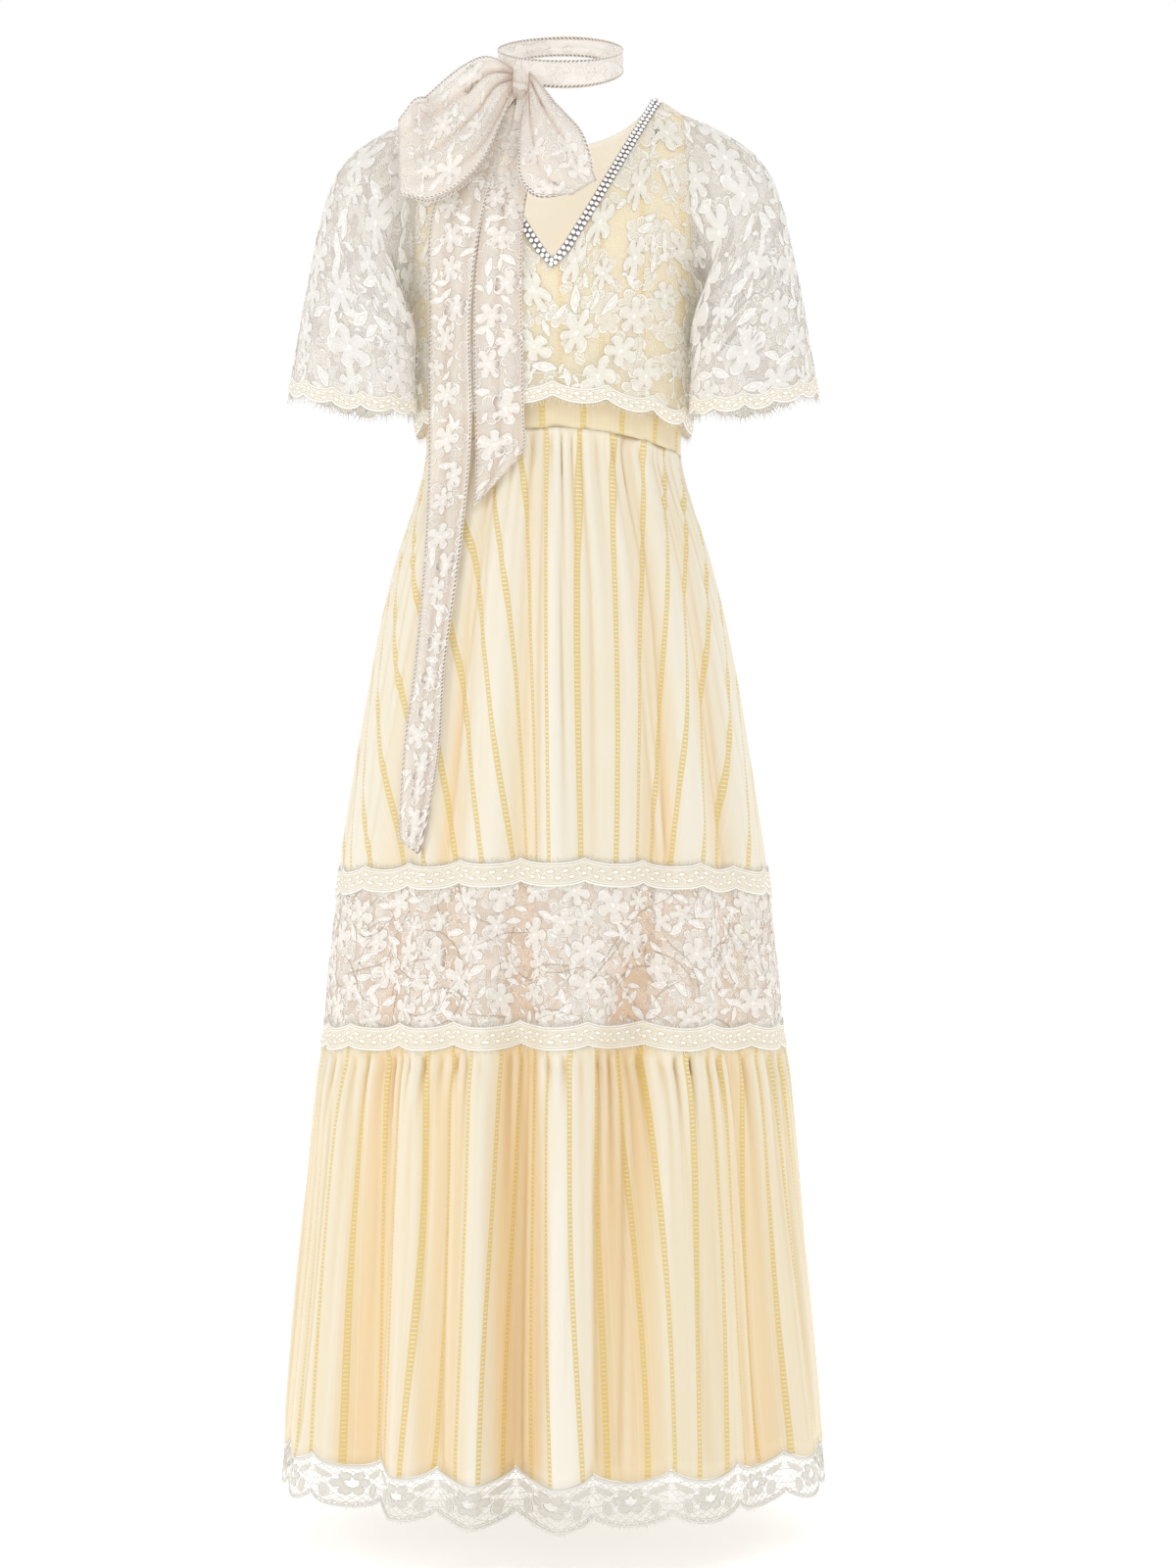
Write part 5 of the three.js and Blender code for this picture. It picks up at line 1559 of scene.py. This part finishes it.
def front_of(x, height):
    """Depth of the outermost front surface of the dress."""
    over = overlay_out(height) + LACE_WALL + RELIEF_CLEAR
    chest = body_point(angle_at(x, height, over), np.minimum(height, 0))[..., 1] - over
    beside = smoothstep(np.abs(x), SHOULDER_TIP - 10, SHOULDER_TIP + 14)
    sleeve = np.minimum(chest, -SLEEVE_ROWS[2][5] - LACE_WALL)
    ledge = OVERLAY_STAND_OFF * smoothstep(height, LEVELS["waist"][0] - 90, LEVELS["overlay_hem"][0])
    out = SATIN_WALL + RELIEF_CLEAR + ledge
    skirt = skirt_point(angle_at(x, height, out), height)[..., 1] - out
    return np.where(height > LEVELS["overlay_hem"][0], chest + (sleeve - chest) * beside, skirt)


def between(table, share):
    """Smooth values of each column of a table, from its first row to its last."""
    keys = np.arange(len(table))
    place = share * (len(table) - 1)
    return [table_value(keys, [row[column] for row in table], place) for column in range(len(table[0]))]


def loop_cloth(table, rows, columns, folds):
    """A bow loop: out along its front and back behind it."""
    turn = np.linspace(0, 2, rows)[:, None]
    share = np.linspace(0, 1, columns)[None, :]
    out_to = 1 - np.abs(1 - turn)
    top_x, top_z, low_x, low_z, off, puff = between(table, out_to)
    rear = smoothstep(turn, 0.9, 1.1)
    end = 4 * rear * (1 - rear)
    x = top_x + (low_x - top_x) * share
    z = top_z + (low_z - top_z) * share
    reach = np.sign(table[-1][0] - table[0][0]) * 3.5
    x = x + end * reach
    swell = 1 + 0.25 * np.sin(math.pi * share)
    leave = KNOT["y"] * (1 - out_to) - LOOP_LEAD
    # Painted shade close to the knot, and further down in the valleys of the folds
    shade = 0.8 * np.exp(-(out_to / 0.07) ** 2) + 0 * share
    y = np.minimum(front_of(x, z), leave) - (off + puff * (1 - rear)) * swell
    for where, half, deep in folds:
        away = (share - where - 0.05 * np.sin(3 * turn + where * 9)) / half
        fade = np.clip(1.15 - out_to, 0, 1) ** 0.7
        y = y - deep * fade * np.exp(-away ** 2) * (1 - 1.7 * rear)
        shade = shade + np.clip(-deep, 0, None) / 8 * fade ** 2 * np.exp(-(away / 0.7) ** 2) * (1 - rear)
    tied = smoothstep(out_to, 0, 0.06)
    knot_y = KNOT["y"] - off - puff * (1 - rear)
    y = knot_y * (1 - tied) + y * tied
    points = np.stack([x + 0 * y, y, z + 0 * y], -1)
    length = arc_lengths(points[:, columns // 2])[:, None]
    width = np.linalg.norm(points[rows // 3, -1] - points[rows // 3, 0])
    cloth = Cloth(points, length, share * width)
    cloth.face(rows // 4, columns // 2, OUT_OF_FRONT)
    cloth.edge = np.minimum(share, 1 - share) * np.abs(top_z - low_z) * 1.15 + 0 * turn
    cloth.painted_shade = np.clip(shade, 0, 1)
    return cloth


def tail_cloth(table, rows, columns, folds):
    """A hanging tail that lies on the front of the dress."""
    along = np.linspace(0, 1, rows)[:, None]
    share = np.linspace(0, 1, columns)[None, :]
    left, right, left_z, right_z = between(table, along)
    x = left + (right - left) * share
    z = left_z + (right_z - left_z) * share
    drape = np.zeros_like(x)
    for where, half, deep, wander in folds:
        away = (share - where - wander * np.sin(5 * along + where * 20)) / half
        drape += deep * np.exp(-away ** 2)
    hung = front_of(x, z) - 2.6 * smoothstep(z, V_TIP - 36, V_TIP) - drape * smoothstep(along, 0, 0.04)
    near_knot = 1 - smoothstep(z, -120, -20)
    y = np.minimum(hung, (KNOT["y"] + TAIL_BEHIND) * (1 - near_knot) + hung * near_knot)
    points = np.stack([x, y, z], -1)
    length = arc_lengths(points[:, columns // 2])[:, None]
    width = right - left
    cloth = Cloth(points, length, share * width)
    cloth.face(rows // 2, columns // 2, OUT_OF_FRONT)
    cloth.edge = np.minimum(share, 1 - share) * np.abs(width)
    cloth.edge = np.minimum(cloth.edge, (length[-1] - length) + 0 * share)
    # Painted shade in the valleys of the drape and where the tail leaves the knot
    valleys = smoothed(drape, columns // 4) - drape
    cloth.painted_shade = np.clip(0.25 * valleys, 0, 0.4) + 0.5 * np.exp(-(along / 0.02) ** 2) + 0 * share
    return cloth


def ring_cloth(rows, columns):
    """The pleated band round the neck."""
    turn = np.radians(np.linspace(NECK_RING["start"], NECK_RING["end"], columns))[None, :]
    share = np.linspace(-0.5, 0.5, rows)[:, None]
    facing = (1 + np.cos(turn)) / 2
    tall = NECK_BAND["back"] + (NECK_BAND["front"] - NECK_BAND["back"]) * facing
    height = NECK_RING["middle"] - NECK_RING["rise"] * np.cos(turn) - share * tall
    pleat = 1.1 * np.cos(share * 15 + 1.4 * np.sin(2 * turn)) + 0.5 * np.cos(share * 31 - 2 * turn)
    x = NECK_RING["x"] + (NECK_RING["radius_x"] + pleat) * np.sin(turn)
    y = NECK_RING["y"] - (NECK_RING["radius_y"] + pleat) * np.cos(turn)
    points = np.stack([x, y, height + 0 * x], -1)
    cloth = Cloth(points, arc_lengths(points[rows // 2])[None, :], (share + 0.5) * tall)
    middle = turn[0, columns // 2]
    cloth.face(rows // 2, columns // 2, (math.sin(middle), -math.cos(middle), 0))
    cloth.edge = (0.5 - np.abs(share)) * tall
    return cloth


def add_knot():
    """The wrapped knot of the bow."""
    rows, columns = KNOT_GRID
    polar = np.linspace(0.02, math.pi - 0.02, rows)[:, None]
    turn = np.linspace(0, 2 * math.pi, columns)[None, :]
    x = np.sin(polar) * np.cos(turn)
    y = np.sin(polar) * np.sin(turn)
    z = np.cos(polar) + 0 * turn
    lump = 1 + 0.08 * np.sin(3 * x + 4 * z)
    wraps = 0.055 * np.abs(np.sin(5.5 * (z * 0.8 + x * 0.6) + 1.2 * y)) ** 0.7
    size = lump - 0.04 + wraps
    points = np.stack([KNOT["x"] + KNOT["radius_x"] * x * size, KNOT["y"] + KNOT["radius_y"] * y * size,
                       KNOT["z"] + KNOT["radius_z"] * z * size], -1)
    cloth = Cloth(points, turn * 13, polar * 15, around=True)
    flat = points.reshape(-1, 3)
    number = grid_numbers(rows, columns, True)
    quads = np.stack(grid_corners(number), -1).reshape(-1, 4)
    faces = quads.tolist() + [number[0, :-1].tolist(), number[-1, :-1][::-1].tolist()]
    obj = make_object("bow_knot", (flat * MM).tolist(), faces, SCARF_LACE)
    set_cloth_data(obj.data, cloth, 1)
    remove_loose(obj.data)
    finish_piece(obj, ["scarf_knot"])


def on_front(row, column):
    return 0.06 < row < 0.44


def below_knot(row, column):
    return row > 0.1


LOOPS = [  # side, shape, columns, folds, flat width, area, motifs, their sizes, seed
    ("left", LEFT_LOOP, 50,
     [(0.13, 0.05, 4), (0.27, 0.045, -6), (0.4, 0.05, 5), (0.54, 0.04, -7), (0.68, 0.06, 6),
      (0.83, 0.045, -5)],
     0.12, 0.025, 11, (11, 18), 41),
    ("right", RIGHT_LOOP, 46,
     [(0.15, 0.06, 4), (0.32, 0.05, -6), (0.5, 0.06, 5), (0.66, 0.05, -6), (0.85, 0.05, 4)],
     0.08, 0.017, 7, (10, 16), 42),
]
TAILS = [  # name, shape, rows, columns, folds, flat length, area, motifs, their sizes, seed
    ("long", LONG_TAIL, 120, 28, [(0.2, 0.15, 4, 0.05), (0.6, 0.13, 4.5, 0.07), (0.92, 0.1, 3, 0.03)],
     0.78, 0.034, 26, (10, 17), 43),
    ("short", SHORT_TAIL, 80, 30, [(0.28, 0.16, 4, 0.05), (0.72, 0.14, 4.5, 0.06)],
     0.43, 0.019, 14, (11, 18), 44),
]


def add_scarf():
    """Knot, neck band, two loops and two tails."""
    add_knot()
    ring = ring_cloth(*RING_GRID)
    piece = add_cloth("scarf_band", ring, CLOTH, SCARF_LACE, lift=0.6)
    finish_piece(piece, ["scarf_neck_band"], (0.385, 0.027), area=0.0092)
    for side, shape, columns, folds, wide, area, count, sizes, seed in LOOPS:
        loop = loop_cloth(shape, LOOP_ROWS, columns, folds)
        piece = add_cloth(f"bow_loop_{side}", loop, CLOTH, SCARF_LACE)
        finish_piece(piece, [f"scarf_loop_{side}"], (0.25, wide), area=area)
        add_motifs(f"loop_flowers_{side}", loop, count, sizes, CLOTH, seed, on_front,
                   material=SCARF_APPLIQUE)
    for name, shape, rows, columns, folds, length, area, count, sizes, seed in TAILS:
        tail = tail_cloth(shape, rows, columns, folds)
        piece = add_cloth(f"bow_tail_{name}", tail, CLOTH, SCARF_LACE)
        finish_piece(piece, [f"scarf_tail_{name}"], (0.06, length), area=area)
        add_motifs(f"tail_flowers_{name}", tail, count, sizes, CLOTH, seed, below_knot,
                   material=SCARF_APPLIQUE)


# Stones along the V

TAPE_WIDTH = 9
TAPE_WALL = 1.2
TAPE_LIFT = 4.3
TAPE_GRID = (5, 121)
STONE_PITCH = 6.0
STONE_RADIUS = 2.3
STONE_LINES = [(2.3, 0.3), (6.8, 0.7)]  # inset from the neck edge, where the first stone is in its pitch
STONE_PROFILE = [(1.0, 0.5), (0.9, 0.85), (0.5, 1.25)]
CUP_PROFILE = [(1.14, -0.1), (1.14, 0.62), (0.98, 0.62)]


def torso_front(x, height, distance):
    """Points on the front of the torso, moved out, and their outward directions."""
    low = np.minimum(height, shoulder_height(x) - 2)
    step = 0.4
    angle = angle_at(x, height, 0)
    turned = body_point(angle + step, low) - body_point(angle - step, low)
    raised = body_point(angle, low + step) - body_point(angle, low - step)
    outward = np.cross(turned, raised)
    outward /= np.linalg.norm(outward, axis=-1, keepdims=True)
    outward = np.where(outward[..., 1:2] > 0, -outward, outward)
    return body_point(angle, height) + outward * distance, outward


def trim_place(share, inset, distance):
    """Points on the tape along the V, inset from the neck edge, and their outward directions."""
    x = share * (NECK_HALF - 3)
    height = V_TIP + (NECK_HEIGHT - V_TIP) * (np.abs(x) / NECK_HALF) ** (1 / V_BOW)
    lean = np.clip(x / TAPE_WIDTH, -1, 1)
    return torso_front(x + inset * lean * 0.85, height - inset * (1 - 0.5 * np.abs(lean)), distance)


def add_neck_trim():
    share = np.linspace(-1, 1, TAPE_GRID[1])[None, :]
    inset = np.linspace(0, TAPE_WIDTH, TAPE_GRID[0])[:, None]
    points, outward = trim_place(share + 0 * inset, inset + 0 * share, TAPE_LIFT)
    cloth = Cloth(points, arc_lengths(points[0])[None, :], inset)
    cloth.normals = outward
    piece = add_cloth("neck_tape", cloth, TAPE_WALL, TAPE)
    finish_piece(piece, ["neck_trim"], (0.425, 0.01), area=0.0039)
    stones = ([], [])
    cups = ([], [])
    for inset_at, first in STONE_LINES:
        line = trim_place(share[0], np.full(TAPE_GRID[1], inset_at), TAPE_LIFT + TAPE_WALL)[0]
        along = arc_lengths(line)
        count = int(along[-1] / STONE_PITCH)
        for index in range(count):
            at = np.interp((index + first) * along[-1] / count, along, share[0])
            point, normal = trim_place(np.array([at]), np.array([inset_at]), TAPE_LIFT + TAPE_WALL)
            add_turned(stones, point[0], normal[0], STONE_PROFILE, STONE_RADIUS, 8)
            add_turned(cups, point[0], normal[0], CUP_PROFILE, STONE_RADIUS, 12)
    finish_piece(make_object("neck_stones", *stones, STONES))
    finish_piece(make_object("stone_cups", *cups, CUPS))


def add_turned(store, point, normal, profile, radius, sides):
    """A small turned form standing on a point: profile rows are radius and height as shares."""
    verts, faces = store
    side = np.cross(normal, (0, 0, 1))
    side /= np.linalg.norm(side)
    up = np.cross(side, normal)
    number = len(verts) + np.arange(len(profile) * sides).reshape(-1, sides)
    for wide, high in profile:
        for step in range(sides):
            turn = 2 * math.pi * (step + 0.5) / sides
            spoke = side * math.cos(turn) + up * math.sin(turn)
            verts.append(tuple((point + (spoke * wide + normal * high) * radius) * MM))
    faces.extend(tube_faces(number[:, ::-1]))


# Camera, light and floor

CAMERA_X = 35
CAMERA_Z = -695
CAMERA_AWAY = 3200
PHOTO_TALL = 1600
FLOOR_Z = -1452
STUDIO_FRONT = 0.695
FLOOR_HALF = 12
LAMP_AIM = (0, 0, -0.7)
LAMPS = [  # name, place in metres, power, width
    ("key_light", (-2.6, -1.9, 0.5), 12, 0.8),
    ("neck_light", (0.5, -1.5, 1.3), 7, 0.5),
]


def add_object(name, data, place):
    made = bpy.data.objects.new(name, data)
    made.location = place
    bpy.context.scene.collection.objects.link(made)
    return made


def add_camera():
    camera = bpy.data.cameras.new("camera")
    camera.lens = camera.sensor_width * CAMERA_AWAY / PHOTO_TALL
    view = add_object("camera", camera, (CAMERA_X * MM, -CAMERA_AWAY * MM, CAMERA_Z * MM))
    view.rotation_euler = (math.pi / 2, 0, 0)
    bpy.context.scene.camera = view


def add_floor():
    floor = bpy.data.meshes.new("floor")
    corners = [(x * FLOOR_HALF, y * FLOOR_HALF, 0) for x, y in ((-1, -1), (1, -1), (1, 1), (-1, 1))]
    floor.from_pydata(corners, [], [(0, 1, 2, 3)])
    n = Nodes("pale_floor")
    tone = n.mix(n.noise(n.place(), 3.0), (0.9, 0.9, 0.9), (0.93, 0.93, 0.93))
    floor.materials.append(n.finish(tone, {"Roughness": 0.9, "Emission Color": (1, 1, 1, 1),
                                           "Emission Strength": 0.45}))
    add_object("floor", floor, (0, 0, FLOOR_Z * MM))


def add_studio():
    """White surroundings, a little dimmer in front of the dress, and two soft lamps."""
    world = bpy.data.worlds.new("studio")
    world.use_nodes = True
    tree = world.node_tree
    back = tree.nodes["Background"]
    back.inputs[0].default_value = (1, 1, 1, 1)
    toward = tree.nodes.new("ShaderNodeSeparateXYZ")
    tree.links.new(tree.nodes.new("ShaderNodeTexCoord").outputs["Generated"], toward.inputs[0])
    soft = tree.nodes.new("ShaderNodeMapRange")
    for socket, value in zip(soft.inputs[1:5], (-0.3, 0.3, STUDIO_FRONT, 1.0)):
        socket.default_value = value
    tree.links.new(toward.outputs[1], soft.inputs[0])
    tree.links.new(soft.outputs[0], back.inputs[1])
    bpy.context.scene.world = world
    bpy.context.scene.view_settings.view_transform = "Standard"
    for name, place, power, wide in LAMPS:
        lamp = bpy.data.lights.new(name, "AREA")
        lamp.energy = power
        lamp.size = wide
        light = add_object(name, lamp, place)
        aim = np.array(LAMP_AIM) - np.array(place)
        tilt = math.acos(-aim[2] / np.linalg.norm(aim))
        light.rotation_euler = (tilt, 0, math.atan2(aim[1], aim[0]) - math.pi / 2)


add_camera()
add_floor()
add_studio()
add_skirt()
add_torso()
add_sleeves()
add_scarf()
add_neck_trim()
